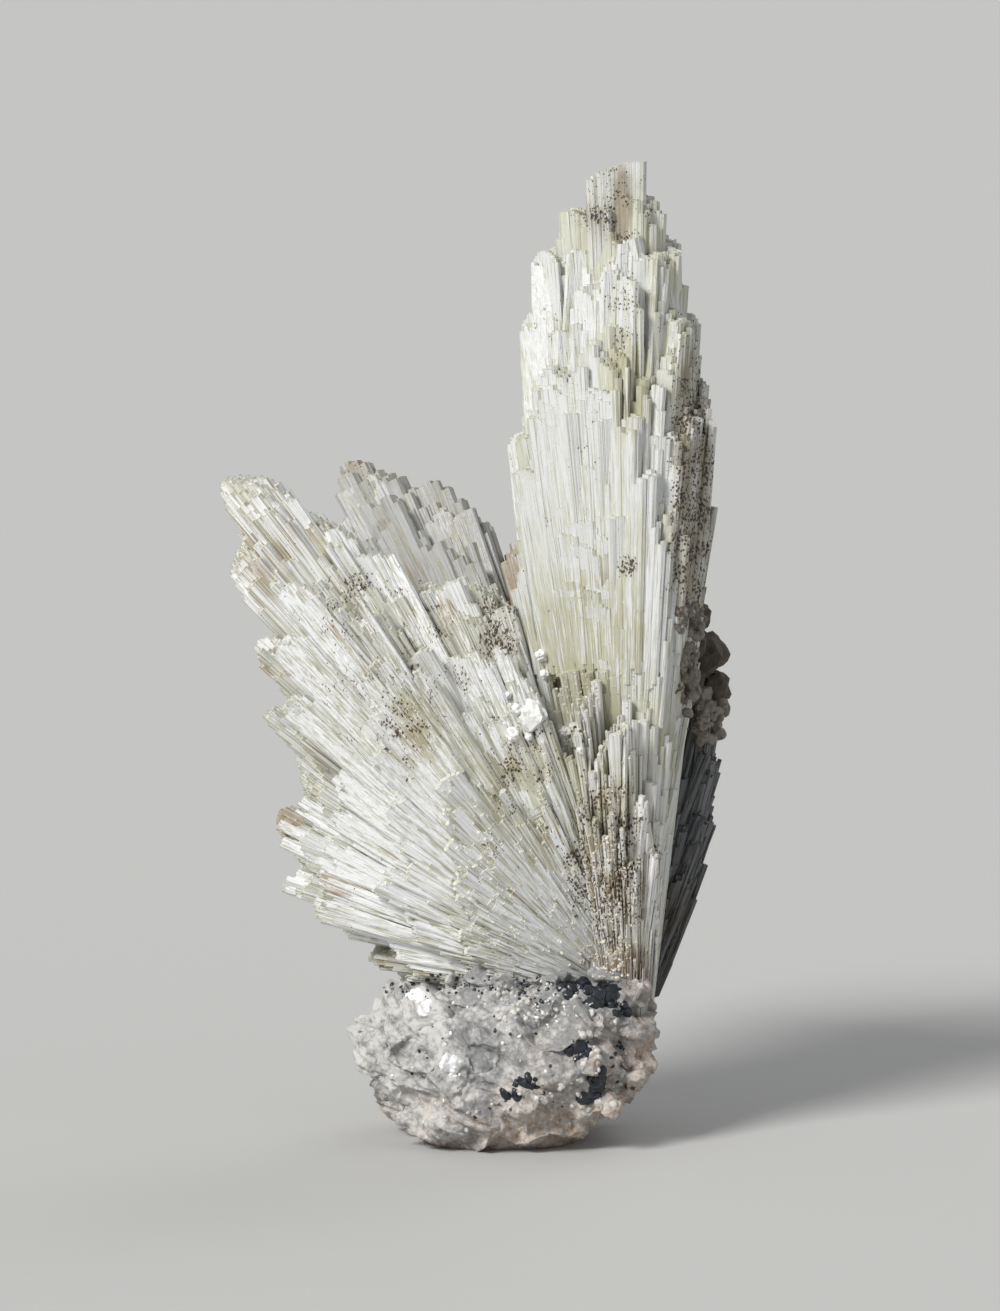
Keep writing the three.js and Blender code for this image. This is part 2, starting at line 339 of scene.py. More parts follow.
@dataclass(frozen=True)
class CrystalFinish:
    """Strontianite: frosted tips, olive depths and furrows partly in painted shade, tan stains and dark
    specks.

    Colors are linear. The patterns run along each crystal, by the attributes that its form carries.

    Attributes:
        name: The material's name.
        root: The point that the fibres run out from, in mm.
        zones: The parts of the spray that are marked more than the rest.
        fibre: How many waves of the finest fibres go into a radian around the root.
        frost: The color of frosted tips and streaks.
        body: The color below them.
        olive_and_shade: The olive of depths, furrows and end faces, partly the mineral's own, partly painted
            shade.
        stain_and_shade: The stains' color; on the right spray, and partly on the tall one, it is painted
            shade.
        speck: The color of the specks.
        frosting: How much of the surface is frosted.
        depth_mm: How far below the tips the olive_and_shade color is full.
        speckling: How speckled the whole spray is.
        staining: How stained the whole spray is.
        fused: How far the fibres run over from crystal to crystal.
        contrast: How strong the fibres are.
        FIBRE_SHARES: Each fibre layer's waves, as a share of the finest one's.
        FIBRE_REACHES: Where each finer layer starts to show and is full, in mm from the root.
        FIBRE_FLATNESS: The waves' number from front to back, as a share of that across.
    """

    FIBRE_SHARES = (0.09, 0.3, 1.0)
    FIBRE_REACHES = ((4.0, 10.0), (13.0, 30.0))
    FIBRE_FLATNESS = 0.25

    name: str
    root: Point
    zones: tuple[Zone, ...] = ()
    fibre: float = 230.0
    frost: Color = (0.73, 0.74, 0.725)
    body: Color = (0.60, 0.605, 0.52)
    olive_and_shade: Color = (0.44, 0.425, 0.28)
    stain_and_shade: Color = (0.36, 0.27, 0.17)
    speck: Color = (0.045, 0.029, 0.018)
    frosting: float = 0.5
    depth_mm: float = 22.0
    speckling: float = 0.0
    staining: float = 0.0
    fused: float = 0.0
    contrast: float = 1.4

    def build(self) -> bpy.types.Material:
        """Builds the material.

        Returns:
            The material, for a mesh of crystals with the attributes section, length, tone, needle and cover.
        """
        finish = Finish(self.name)
        tree = finish.tree
        side, edge, run = tree.separate(tree.attribute("section", "Vector"))
        length, tone, needle = (tree.attribute(name) for name in ("length", "tone", "needle"))
        cover = tree.attribute("cover")
        from_tip = (1.0 - run) * length
        marks = self._marks(finish)

        ribs = tree.combine(side * 5.0 + needle * 71.0, edge * 5.0, from_tip * 0.14 + needle * 37.0)
        fibre = self._fibre(finish)
        streak = tree.noise(ribs, 1.0, 2.0, 0.6)
        streak = streak + (fibre - streak) * self.fused
        cloud = tree.noise(finish.place_mm, 0.25, 3.0, 0.6)
        sugar = tree.noise(finish.place_mm, 5.0, 1.0, 0.7)

        # Darker, more olive and less frosted lower down and deeper in the spray (cover): painted shade of its
        # inside.
        depth = from_tip / self.depth_mm + (streak - 0.5) * 0.8 + (cloud - 0.5) * 1.6 - (tone - 0.5) * 0.8
        depth = depth + cover * 0.4
        surface = tree.mix(self.frost, self.body, depth.ramp(-0.1, 0.35))
        deep = (depth * 0.5 + marks[Mark.OLIVE_AND_SHADE] * 0.6).ramp(0.15, 0.95)
        surface = tree.mix(surface, self.olive_and_shade, deep * 0.8)
        white = streak * 0.5 + fibre * 1.1 + needle * 0.2 + cloud * 0.3 - cover * 0.15 - 0.45
        white = white + marks[Mark.FROST] * 0.5 - marks[Mark.OLIVE_AND_SHADE] * 0.1
        eased = 0.4 * self.frosting
        surface = tree.mix(surface, self.frost, white.ramp(0.80 - eased, 0.95 - eased))
        # Olive in the furrows between the fibres is painted shade of the grooves.
        furrow_shade = (0.95 - fibre - streak * 0.55 + marks[Mark.OLIVE_AND_SHADE] * 0.08).ramp(0.22, 0.42)
        surface = tree.mix(surface, self.olive_and_shade, furrow_shade * 0.7)

        stained = cloud * 0.9 + streak * 0.3 - fibre * 0.6 + 0.5 + cover * 0.1 + marks[Mark.STAIN_AND_SHADE] * 0.35
        stained = stained + tone.ramp(0.09, 0.0) * 0.35
        surface = tree.mix(surface, self.stain_and_shade, stained.ramp(0.92, 1.35) * 0.8)

        crowd = tree.noise(tree.vector("ADD", finish.place_mm, (1.0, 9.0, 4.0)), 0.5, 3.0, 0.7)
        size = (crowd + marks[Mark.SPECKS] * 0.22).ramp(0.46, 0.92)
        grid = tree.vector("ADD", finish.place_mm, tree.combine(0.0, 0.0, fibre * 0.5))
        specked = (size * 0.55 - tree.cells(grid, 4.2)).ramp(0.0, 0.10)
        surface = tree.mix(surface, self.stain_and_shade, size * size * 0.3)
        surface = tree.mix(surface, self.speck, specked * 0.92)
        end_face = from_tip.ramp(0.08, 0.0)
        surface = tree.mix(surface, self.olive_and_shade, end_face * 0.4)

        finish.set(Base_Color=surface, Roughness=streak * 0.25 + sugar * 0.3 + 0.15, IOR=1.55)
        finish.bump(streak * 0.4 + fibre * 0.9 + sugar * 0.2, 0.12)
        return finish.material

    def _fibre(self, finish: Finish) -> Value:
        """Returns noise drawn out along the rays from the root, coarser in angle near the root."""
        tree = finish.tree
        from_root = tree.vector("SUBTRACT", finish.place_mm, self.root)
        away = tree.length(from_root)
        ray = tree.vector("NORMALIZE", from_root, (0.0, 0.0, 0.0))
        slow = tree.combine(away * 0.08, away * 0.1, away * 0.08)
        layers = []
        for share in self.FIBRE_SHARES:
            wave = self.fibre * share
            across = tree.vector("MULTIPLY", ray, (wave, wave * self.FIBRE_FLATNESS, wave))
            layers.append(tree.noise(tree.vector("ADD", across, slow), 1.0, 2.0, 0.65))
        fibre = layers[0]
        for layer, (near, far) in zip(layers[1:], self.FIBRE_REACHES, strict=True):
            fibre = fibre + (layer - fibre) * away.ramp(near, far)
        return (fibre - 0.5) * self.contrast + 0.5

    def _marks(self, finish: Finish) -> dict[Mark, Value | float]:
        """Adds up the zones of each kind, over what the whole spray has."""
        marks: dict[Mark, Value | float] = {mark: 0.0 for mark in Mark}
        marks[Mark.SPECKS] = self.speckling
        marks[Mark.STAIN_AND_SHADE] = self.staining
        for zone in self.zones:
            marks[zone.mark] = zone.mask(finish) + marks[zone.mark]
        return marks


@dataclass(frozen=True)
class RockFinish:
    """Mottled grey and cream host rock with slanted dark streaks, tan towards its foot."""

    name: str
    grey: Color = (0.27, 0.272, 0.275)
    pale: Color = (0.59, 0.58, 0.56)
    tan: Color = (0.44, 0.32, 0.225)
    dark: Color = (0.055, 0.058, 0.062)

    def build(self) -> bpy.types.Material:
        """Builds the material.

        Returns:
            The material.
        """
        finish = Finish(self.name)
        tree = finish.tree
        x, y, z = tree.separate(finish.place_mm)
        slanted = tree.combine((x * 0.82 - z * 0.57) * 0.35, y * 0.5, (x * 0.57 + z * 0.82) * 1.5)
        bands = tree.noise(slanted, 0.8, 4.0, 0.65)
        broad = tree.noise(finish.place_mm, 0.33, 3.0, 0.55)
        fine = tree.noise(finish.place_mm, 2.0, 5.0, 0.75)
        grain = tree.cells(finish.place_mm, 2.2)
        tone = bands * 0.45 + fine * 0.5 + broad * 0.5 + x * -0.012
        surface = tree.mix(self.grey, self.pale, (tone + (0.4 - grain) * 0.15).ramp(0.62, 0.84))
        warm = tree.mix(self.tan, self.pale, (fine * 0.9 + bands * 0.35 - 0.1).ramp(0.42, 0.62) * 0.85)
        low = z * -0.09 + 0.8 + x * 0.045
        surface = tree.mix(surface, warm, (low + broad * 1.6 + fine * 1.4 - 1.62).ramp(0.0, 0.7) * 0.85)
        surface = tree.mix(surface, self.dark, (bands * 0.5 + fine * 0.6).ramp(0.47, 0.36) * 0.85)
        finish.set(Base_Color=surface, Roughness=0.55 + fine * 0.5, IOR=1.5)
        finish.bump(fine * 0.7 + grain * 0.3, 0.25)
        return finish.material


@dataclass(frozen=True)
class PlainFinish:
    """A grain's own color with a little unevenness in it."""

    name: str
    color: Color
    shade: Color
    roughness: float = 0.4

    def build(self) -> bpy.types.Material:
        """Builds the material."""
        finish = Finish(self.name)
        cloud = finish.tree.noise(finish.place_mm, 1.6, 3.0, 0.6)
        finish.set(Base_Color=finish.tree.mix(self.shade, self.color, cloud.ramp(0.3, 0.6)))
        finish.set(Roughness=self.roughness, IOR=1.6)
        finish.bump(cloud, 0.1)
        return finish.material


# ----------------------------------------
# Crystals
# ----------------------------------------


@dataclass(frozen=True)
class Growth:
    """How freely a bundle's crystals grow: fused into plates, and the plates into blocks.

    Attributes:
        width: The least and the greatest width, as a share of the step between crystals.
        thickness: The same for the thickness.
        block: The greatest number of crystals through a block and across it.
        plate: The same for a plate.
        evenness: How even a block's top is through the block, from 0 to 1.
        block_short: How far a block ends below the spray's outline at most, as a share.
        plate_short: How far a plate on the spray's face does.
        bevel: Slope of a block's top towards the front.
        chisel: Slope of a block's top to its sides.
        shyness: How far crystals that end on the spray's face stay below it, as a share.
        rounding_mm: How far the corners of a block's top are worn down.
        unevenness_mm: How far a crystal ends below its plate's top.
        stray: How far a crystal's direction strays, as a share of the step.
        plate_stray: How far a whole plate's does.
        roll: How far each crystal of a plate turns about its length, in degrees.
        tilt: How far a whole block does.
        follow: How far through and across from its own place, in degrees, a block takes its reach.
        lift: Least reach of the front row and of a middle one, as shares of the longest behind them, and the
            middle one's place from front, 0, to back, 1.
        start_mm: Where crystals start, from the root.
        ledge_mm: Where the front rows start, from the root.
        ledge_lean: The lean that the front rows stay below.
    """

    width: tuple[float, float] = (1.8, 2.6)
    thickness: tuple[float, float] = (1.9, 2.2)
    block: tuple[int, int] = (6, 11)
    plate: tuple[int, int] = (2, 4)
    evenness: float = 0.85
    block_short: float = 0.025
    plate_short: float = 0.35
    bevel: float = 0.2
    chisel: float = 0.35
    shyness: float = 0.05
    rounding_mm: float = 0.3
    unevenness_mm: float = 0.10
    stray: float = 0.07
    plate_stray: float = 0.2
    roll: float = 5.0
    tilt: float = 6.0
    follow: tuple[float, float] = (0.8, 0.4)
    lift: tuple[float, float, float] = (0.0, 0.0, 0.0)
    start_mm: float = 1.5
    ledge_mm: float = 0.0
    ledge_lean: float = -90.0


@dataclass(frozen=True)
class Bundle:
    """Where a spray's crystals point back to, and how they fan out. Lengths are in millimetres.

    Attributes:
        root: The point that the crystals' directions are taken from.
        spread: Half-width of the bundle at the root.
        turn: Turn of the whole bundle.
        swings: The first and the last crystal's swing.
        middle_leans: Lean of the bundle's middle at the first swing and at the last.
        leans: The front and the back crystal's lean, from the middle.
        steps: Step between crystals across the bundle and through it.
        growth: How freely they grow.
        longer: Swings, each with the share of the solid's reach that the crystals have there.
    """

    root: Point
    spread: float
    turn: float
    swings: tuple[float, float]
    middle_leans: tuple[float, float]
    leans: tuple[float, float]
    steps: tuple[float, float]
    growth: Growth = Growth()
    longer: tuple[tuple[float, float], ...] = ()

    def level_frame(self) -> tuple[Vector, Vector]:
        """Returns the level directions to the bundle's right and back."""
        turn = math.radians(self.turn)
        return Vector((math.cos(turn), -math.sin(turn), 0.0)), Vector((math.sin(turn), math.cos(turn), 0.0))

    def frame(self, across: float, through: float) -> tuple[Vector, Vector]:
        """Works out one crystal's directions.

        Args:
            across: Its swing.
            through: Its lean from the bundle's middle.

        Returns:
            The unit direction along the crystal, and the one across its flat face.
        """
        right, back = self.level_frame()
        lean = math.radians(through + np.interp(across, self.swings, self.middle_leans))
        swing = math.radians(across)
        upright = right * -math.cos(swing) + UP * math.sin(swing)
        along = upright * math.cos(lean) + back * math.sin(lean)
        return along, right * math.sin(swing) + UP * math.cos(swing)

    def foot(self, across: float, through: float) -> Vector:
        """Returns the point of the root that a crystal starts from."""
        right, back = self.level_frame()
        outward = np.interp(across, self.swings, (-self.spread, self.spread))
        inward = np.interp(through, self.leans, (-self.spread, self.spread))
        return Vector(self.root) + right * float(outward) + back * float(inward)


class Envelope:
    """The solid that a spray's crystals fill, as distances from its root."""

    FAR_MM = 150.0

    def __init__(self, solid: bpy.types.Object) -> None:
        """Reads the solid's surface."""
        self.surface = surface_of([solid])

    def reach(self, root: Vector, direction: Vector) -> float:
        """Returns how far the solid reaches from a point along a direction, or 0 where it doesn't."""
        outside = root + direction * self.FAR_MM
        hit = self.surface.ray_cast(outside * MM, -direction, self.FAR_MM * MM)
        return self.FAR_MM - hit[3] / MM if hit[0] is not None else 0.0

    def touch(self, place: Vector, sight: Vector) -> tuple[Vector, Vector] | None:
        """Finds where the solid is first met on a line of sight.

        Args:
            place: A point that the line passes, in mm.
            sight: The line's unit direction.

        Returns:
            The point in mm and the surface's direction there, or None where the line misses.
        """
        point, normal, _, _ = self.surface.ray_cast((place - sight * self.FAR_MM) * MM, sight)
        if point is None:
            return None
        return point / MM, normal if normal.dot(sight) < 0.0 else -normal


@dataclass
class Crystal:
    """One needle or blade. Lengths are in millimetres.

    Attributes:
        base: Middle of its lower end.
        tip: Middle of its upper end.
        across: Unit direction across its flat face.
        width: Its width at the tip.
        thickness: Its thickness at the tip.
        foot: Its width at the lower end, as a share of that at the tip.
        slope: Slope of the tip's two facets.
        ridge: Where the facets meet, from -0.5 to 0.5 of the width.
        tone: Its plate's place between dull, 0, and bright, 1.
        needle: Its own place between dull, 0, and bright, 1.
        cover: How deep it lies in the spray, from 0 at the faces to 1.
        ROOT_WIDTH: What foot would be at the root.
    """

    ROOT_WIDTH = 0.3

    base: Vector
    tip: Vector
    across: Vector
    width: float
    thickness: float
    foot: float
    slope: float
    ridge: float
    tone: float
    needle: float
    cover: float

    def traits(self) -> dict[str, Any]:
        """Returns what the crystal's point carries, in metres, by the attribute's name."""
        axis = self.tip - self.base
        return {
            "along": axis.normalized(),
            "across": self.across,
            "size": Vector((self.width, self.thickness, axis.length)) * MM,
            "shape": Vector((self.slope, self.ridge, self.foot)),
            "length": axis.length,
            "tone": self.tone,
            "needle": self.needle,
            "cover": self.cover,
        }


def point_cloud(name: str, points: Sequence[Vector], traits: dict[str, Sequence[Any]]) -> bpy.types.Object:
    """Makes an object of loose points.

    Args:
        name: The object's name.
        points: The points, in millimetres.
        traits: A list of numbers or vectors, one entry for each point, by the attribute's name.

    Returns:
        The object, in the scene.
    """
    mesh = bpy.data.meshes.new(name)
    mesh.from_pydata([point * MM for point in points], [], [])
    for trait, values in traits.items():
        is_vector = isinstance(values[0], Vector)
        attribute = mesh.attributes.new(trait, "FLOAT_VECTOR" if is_vector else "FLOAT", "POINT")
        flat = np.array(values, dtype=np.float32).ravel()
        attribute.data.foreach_set("vector" if is_vector else "value", flat)
    return add_object(name, mesh)


def add_object(name: str, mesh: bpy.types.Mesh) -> bpy.types.Object:
    """Puts a mesh in the scene as an object at the origin."""
    made = bpy.data.objects.new(name, mesh)
    bpy.context.scene.collection.objects.link(made)
    return made


class GeometryTree:
    """A Geometry Nodes tree with named inputs, which is run once on an object."""

    SOCKETS = {float: "NodeSocketFloat", int: "NodeSocketInt", bpy.types.Material: "NodeSocketMaterial"}

    def __init__(self, name: str, inputs: dict[str, type]) -> None:
        """Starts the tree.

        Args:
            name: The tree's name.
            inputs: The kind of each input after the geometry, by name.
        """
        self.group = bpy.data.node_groups.new(name, "GeometryNodeTree")
        self.tree = Tree(self.group)
        interface = self.group.interface
        interface.new_socket("Geometry", in_out="INPUT", socket_type="NodeSocketGeometry")
        for label, kind in inputs.items():
            interface.new_socket(label, in_out="INPUT", socket_type=self.SOCKETS[kind])
        interface.new_socket("Geometry", in_out="OUTPUT", socket_type="NodeSocketGeometry")
        given = self.group.nodes.new("NodeGroupInput")
        self.given = {output.name: Value(self.tree, output) for output in given.outputs if output.name}

    def named(self, name: str, kind: str = "FLOAT") -> Value:
        """Returns a named attribute of the geometry."""
        return self.tree.add("GeometryNodeInputNamedAttribute", {"data_type": kind}, {"Name": name})

    def chance(self, low: Any, high: Any, salt: int) -> Value:
        """Returns a random number for each element, from the tree's seed.

        Args:
            low: The least value.
            high: The greatest value.
            salt: What tells this draw from the tree's others.

        Returns:
            The number.
        """
        inputs = {2: low, 3: high, "Seed": self.given["Seed"] + salt}
        node = self.tree.node("FunctionNodeRandomValue", {"data_type": "FLOAT"}, inputs)
        return Value(self.tree, node.outputs[1])

    def end(self, geometry: Value) -> None:
        """Puts the finish on the geometry and gives it out."""
        inputs = {0: geometry, "Material": self.given["Finish"]}
        dressed = self.tree.add("GeometryNodeSetMaterial", {}, inputs)
        self.tree.node("NodeGroupOutput", {}, {0: dressed})

    def run(self, name: str, source: bpy.types.Object, **inputs: Any) -> bpy.types.Object:
        """Runs the tree on an object and keeps the result as a plain mesh.

        Args:
            name: Name of the new piece.
            source: The object that the tree reads, which is deleted.
            inputs: Values of the tree's inputs, by name, with _ for each space.

        Returns:
            The new piece, at the origin.
        """
        modifier = source.modifiers.new(self.group.name, "NODES")
        modifier.node_group = self.group
        for item in self.group.interface.items_tree:
            label = item.name.replace(" ", "_")
            if item.in_out == "INPUT" and label in inputs:
                modifier[item.identifier] = inputs[label]
        evaluated = source.evaluated_get(bpy.context.evaluated_depsgraph_get())
        mesh = bpy.data.meshes.new_from_object(evaluated)
        mesh.name = name
        source.modifiers.remove(modifier)
        bpy.data.objects.remove(source)
        return add_object(name, mesh)


class CrystalTree(GeometryTree):
    """Stands a tapered six-sided crystal with a chisel tip on each point of a cloud.

    Attributes:
        SIDES: How many sides a crystal has.
        NEAR_TOP: The share of a crystal's length above which its corners are the tip's.
        RINGS: Into how many stretches the sides are cut, after a crystal's least and greatest length in mm.
    """

    SIDES = 6
    NEAR_TOP = 0.99
    RINGS = ((0.0, 9.0, 1), (9.0, 12.0, 2), (12.0, 24.0, 4), (24.0, 99.0, 8))

    def __init__(self) -> None:
        """Builds the tree."""
        kinds = {"Twist": float, "Seed": int, "Finish": bpy.types.Material}
        super().__init__("crystals_on_points", kinds)
        tree, given = self.tree, self.given
        self.along, self.across = self.named("along", "FLOAT_VECTOR"), self.named("across", "FLOAT_VECTOR")
        self.size = self.named("size", "FLOAT_VECTOR")
        axes = {"primary_axis": "Z", "secondary_axis": "X"}
        turned = tree.add("FunctionNodeAxesToRotation", axes, {0: self.along, 1: self.across})
        roll = self.chance(given["Twist"] * -1.0, given["Twist"], 0)
        spin = tree.add("FunctionNodeAxisAngleToRotation", {}, {"Axis": (0.0, 0.0, 1.0), "Angle": roll})
        turned = tree.add("FunctionNodeRotateRotation", {"rotation_space": "LOCAL"}, {0: turned, 1: spin})
        length = tree.separate(self.size)[2]
        joined = tree.node("GeometryNodeJoinGeometry", {}, {})
        for shortest, longest, rings in self.RINGS:
            chosen = length.above(shortest * MM) - length.above(longest * MM)
            inputs = {"Points": given["Geometry"], "Selection": chosen, "Instance": self._form(rings)}
            inputs.update({"Rotation": turned, "Scale": self.size})
            tree.feed(joined.inputs[0], tree.add("GeometryNodeInstanceOnPoints", {}, inputs))
        crystals = Value(tree, joined.outputs[0])
        self.end(self._taper(tree.add("GeometryNodeRealizeInstances", {}, {0: crystals})))

    def _form(self, rings: int) -> Value:
        """Makes a crystal of unit width, thickness and length, which notes where each of its corners is.

        Args:
            rings: How many stretches its sides are cut into.

        Returns:
            The crystal's geometry.
        """
        tree = self.tree
        inputs = {"Vertices": self.SIDES, "Side Segments": rings}
        inputs.update({"Radius Top": 0.5, "Radius Bottom": 0.5, "Depth": 1.0})
        cone = tree.add("GeometryNodeMeshCone", {"fill_type": "NGON"}, inputs, output="Mesh")
        place = tree.add("GeometryNodeInputPosition", {}, {})
        settings = {"data_type": "FLOAT_VECTOR", "domain": "POINT"}
        inputs = {"Geometry": cone, "Name": "section", "Value": place}
        return tree.add("GeometryNodeStoreNamedAttribute", settings, inputs)

    def _taper(self, crystals: Value) -> Value:
        """Slants each crystal's top down to both sides of its ridge, and narrows its foot."""
        tree = self.tree
        width, thickness, _ = tree.separate(self.size)
        slope, ridge, foot = tree.separate(self.named("shape", "FLOAT_VECTOR"))
        side, edge, run = tree.separate(self.named("section", "FLOAT_VECTOR"))
        drop = (side - ridge).absolute() * slope * width * -1.0
        lowered = self._scaled(self.along, drop)
        through = tree.vector("CROSS_PRODUCT", self.along, self.across)
        outward = self._scaled(self.across, side * width)
        outward = tree.vector("ADD", outward, self._scaled(through, edge * thickness))
        narrowed = self._scaled(outward, (foot - 1.0) * (1.0 - run))
        inputs = {"Geometry": crystals, "Selection": run.above(self.NEAR_TOP), "Offset": lowered}
        crystals = tree.add("GeometryNodeSetPosition", {}, inputs)
        return tree.add("GeometryNodeSetPosition", {}, {"Geometry": crystals, "Offset": narrowed})

    def _scaled(self, vector: Value, factor: Value) -> Value:
        """Returns a vector times a number."""
        return self.tree.add("ShaderNodeVectorMath", {"operation": "SCALE"}, {0: vector, "Scale": factor})


@dataclass(frozen=True)
class Thatch:
    """Flat splinters laid along one face of a spray, each with its tip a little proud. Lengths are in mm.

    Attributes:
        swings: The least and the greatest swing of a tip.
        reaches: A tip's least and greatest distance from the root.
        count: How many are laid.
        width: The least and the greatest width.
        length: The least and the greatest length.
        stand: How far a tip stands out at least and at most.
        start: The least distance of a lower end from the root.
        leans: The least and the greatest lean of a tip.
        side: The face that they lie on, in degrees: 0 in front, 90 at the right, 180 behind.
        tone: The least and the greatest tone.
        ridges: How uneven a splinter's own face is.
        PULL: What a tip's reach is cut to where the face isn't met, TRIES times at most.
        FACING: How squarely the face has to face the side.
        RISE: How much a splinter may rise out of the face.
        NARROWNESS: How much narrow splinters outnumber broad ones.
        ROUNDING: How far its top's corners are worn down, as a share of its width.
        OVERLAP: A crystal's least and greatest width, as shares of the step between them.
    """

    CRYSTAL_MM = 0.3
    PULL = 0.96
    TRIES = 30
    FACING = 0.5
    RISE = 0.28
    SUNK_MM = 0.4
    NARROWNESS = 1.6
    THICKNESS_MM = (0.45, 0.7)
    SLANT = 0.35
    ROUNDING = 0.25
    UNEVENNESS_MM = 0.12
    OVERLAP = (1.6, 2.6)

    swings: tuple[float, float]
    reaches: tuple[float, float]
    count: int
    width: tuple[float, float] = (0.4, 2.0)
    length: tuple[float, float] = (4.0, 11.0)
    stand: tuple[float, float] = (0.05, 0.3)
    start: float = 2.0
    leans: tuple[float, float] = (0.0, 0.0)
    side: float = 0.0
    tone: tuple[float, float] = (0.0, 1.0)
    ridges: float = 0.03

    def plate(self, bundle: Bundle, envelope: Envelope, chance: np.random.Generator) -> list[Crystal]:
        """Lays one splinter at a random place.

        Args:
            bundle: The bundle whose crystals it follows.
            envelope: The spray's solid.
            chance: Where its chances come from.

        Returns:
            Its crystals, side by side, or none where the solid isn't met.
        """
        swing, lean = chance.uniform(*self.swings), chance.uniform(*self.leans)
        along, across = bundle.frame(swing, lean)
        side = math.radians(self.side)
        sight = along.cross(across) * math.cos(side) - across * math.sin(side)
        foot = bundle.foot(swing, lean)
        reach = math.sqrt(chance.uniform(self.reaches[0] ** 2, self.reaches[1] ** 2))
        top = None
        for _ in range(self.TRIES):
            top = envelope.touch(foot + along * reach, sight)
            if top is not None and top[1].dot(sight) < -self.FACING:
                break
            reach *= self.PULL
        bottom_reach = max(self.start, reach - chance.uniform(*self.length))
        bottom = envelope.touch(foot + along * bottom_reach, sight)
        if top is None or bottom is None or reach - bottom_reach < 1.0 or top[1].dot(sight) > -self.FACING:
            return []
        if abs((top[0] - bottom[0]).normalized().dot(top[1])) > self.RISE:
            return []
        return self._crystals(top, bottom, bottom_reach / reach, chance)

    def _crystals(self, top: tuple[Vector, Vector], bottom: tuple[Vector, Vector], narrowing: float,
                  chance: np.random.Generator) -> list[Crystal]:
        """Makes one splinter of fused crystals.

        Args:
            top: The point of the face at its tip, and the face's direction.
            bottom: The same at its lower end.
            narrowing: The lower end's width as a share of the tip's.
            chance: Where its chances come from.

        Returns:
            The crystals.
        """
        along = (top[0] - bottom[0]).normalized()
        outward = (top[1] + bottom[1]).normalized()
        across = along.cross(outward).normalized()
        outward = across.cross(along)
        width = self.width[0] + (self.width[1] - self.width[0]) * chance.random() ** self.NARROWNESS
        count = max(1, round(width / self.CRYSTAL_MM))
        stand, thickness = chance.uniform(*self.stand), chance.uniform(*self.THICKNESS_MM)
        slant, tone = chance.normal(0.0, self.SLANT), chance.uniform(*self.tone)
        laid = []
        for number in range(count):
            place = 2.0 * (number + 0.5) / count - 1.0
            offset = across * (place * width / 2)
            drop = abs(place) ** 3 * self.ROUNDING * width + place * slant * width / 2
            drop += abs(chance.normal(0.0, self.UNEVENNESS_MM))
            lift = stand + chance.uniform(-self.ridges, self.ridges)
            laid.append(Crystal(
                base=bottom[0] + offset * narrowing - outward * (thickness / 2 + self.SUNK_MM),
                tip=top[0] + offset - along * drop + outward * (lift - thickness / 2),
                across=across,
                width=width / count * (chance.uniform(*self.OVERLAP) if count > 1 else 1.0),
                thickness=thickness,
                foot=narrowing,
                slope=chance.uniform(0.0, 0.5),
                ridge=chance.uniform(-0.5, 0.5),
                tone=tone,
                needle=chance.random(),
                cover=0.0,
            ))
        return laid


@dataclass(frozen=True)
class Blade:
    """A broad flat crystal on a spray's front, placed by where its top is seen. Lengths are in millimetres.

    Attributes:
        x: The middle of its top, to the right.
        z: The middle's height.
        width: Its width at the top.
        slant: How much further its right corner reaches than its left.
        stand: How far it stands out in front.
        start: Where it starts, as a share of its length.
        frost: How white it is, from 0 to 1.
    """

    x: float
    z: float
    width: float
    slant: float = 0.0
    stand: float = 0.3
    start: float = 0.3
    frost: float = 0.5


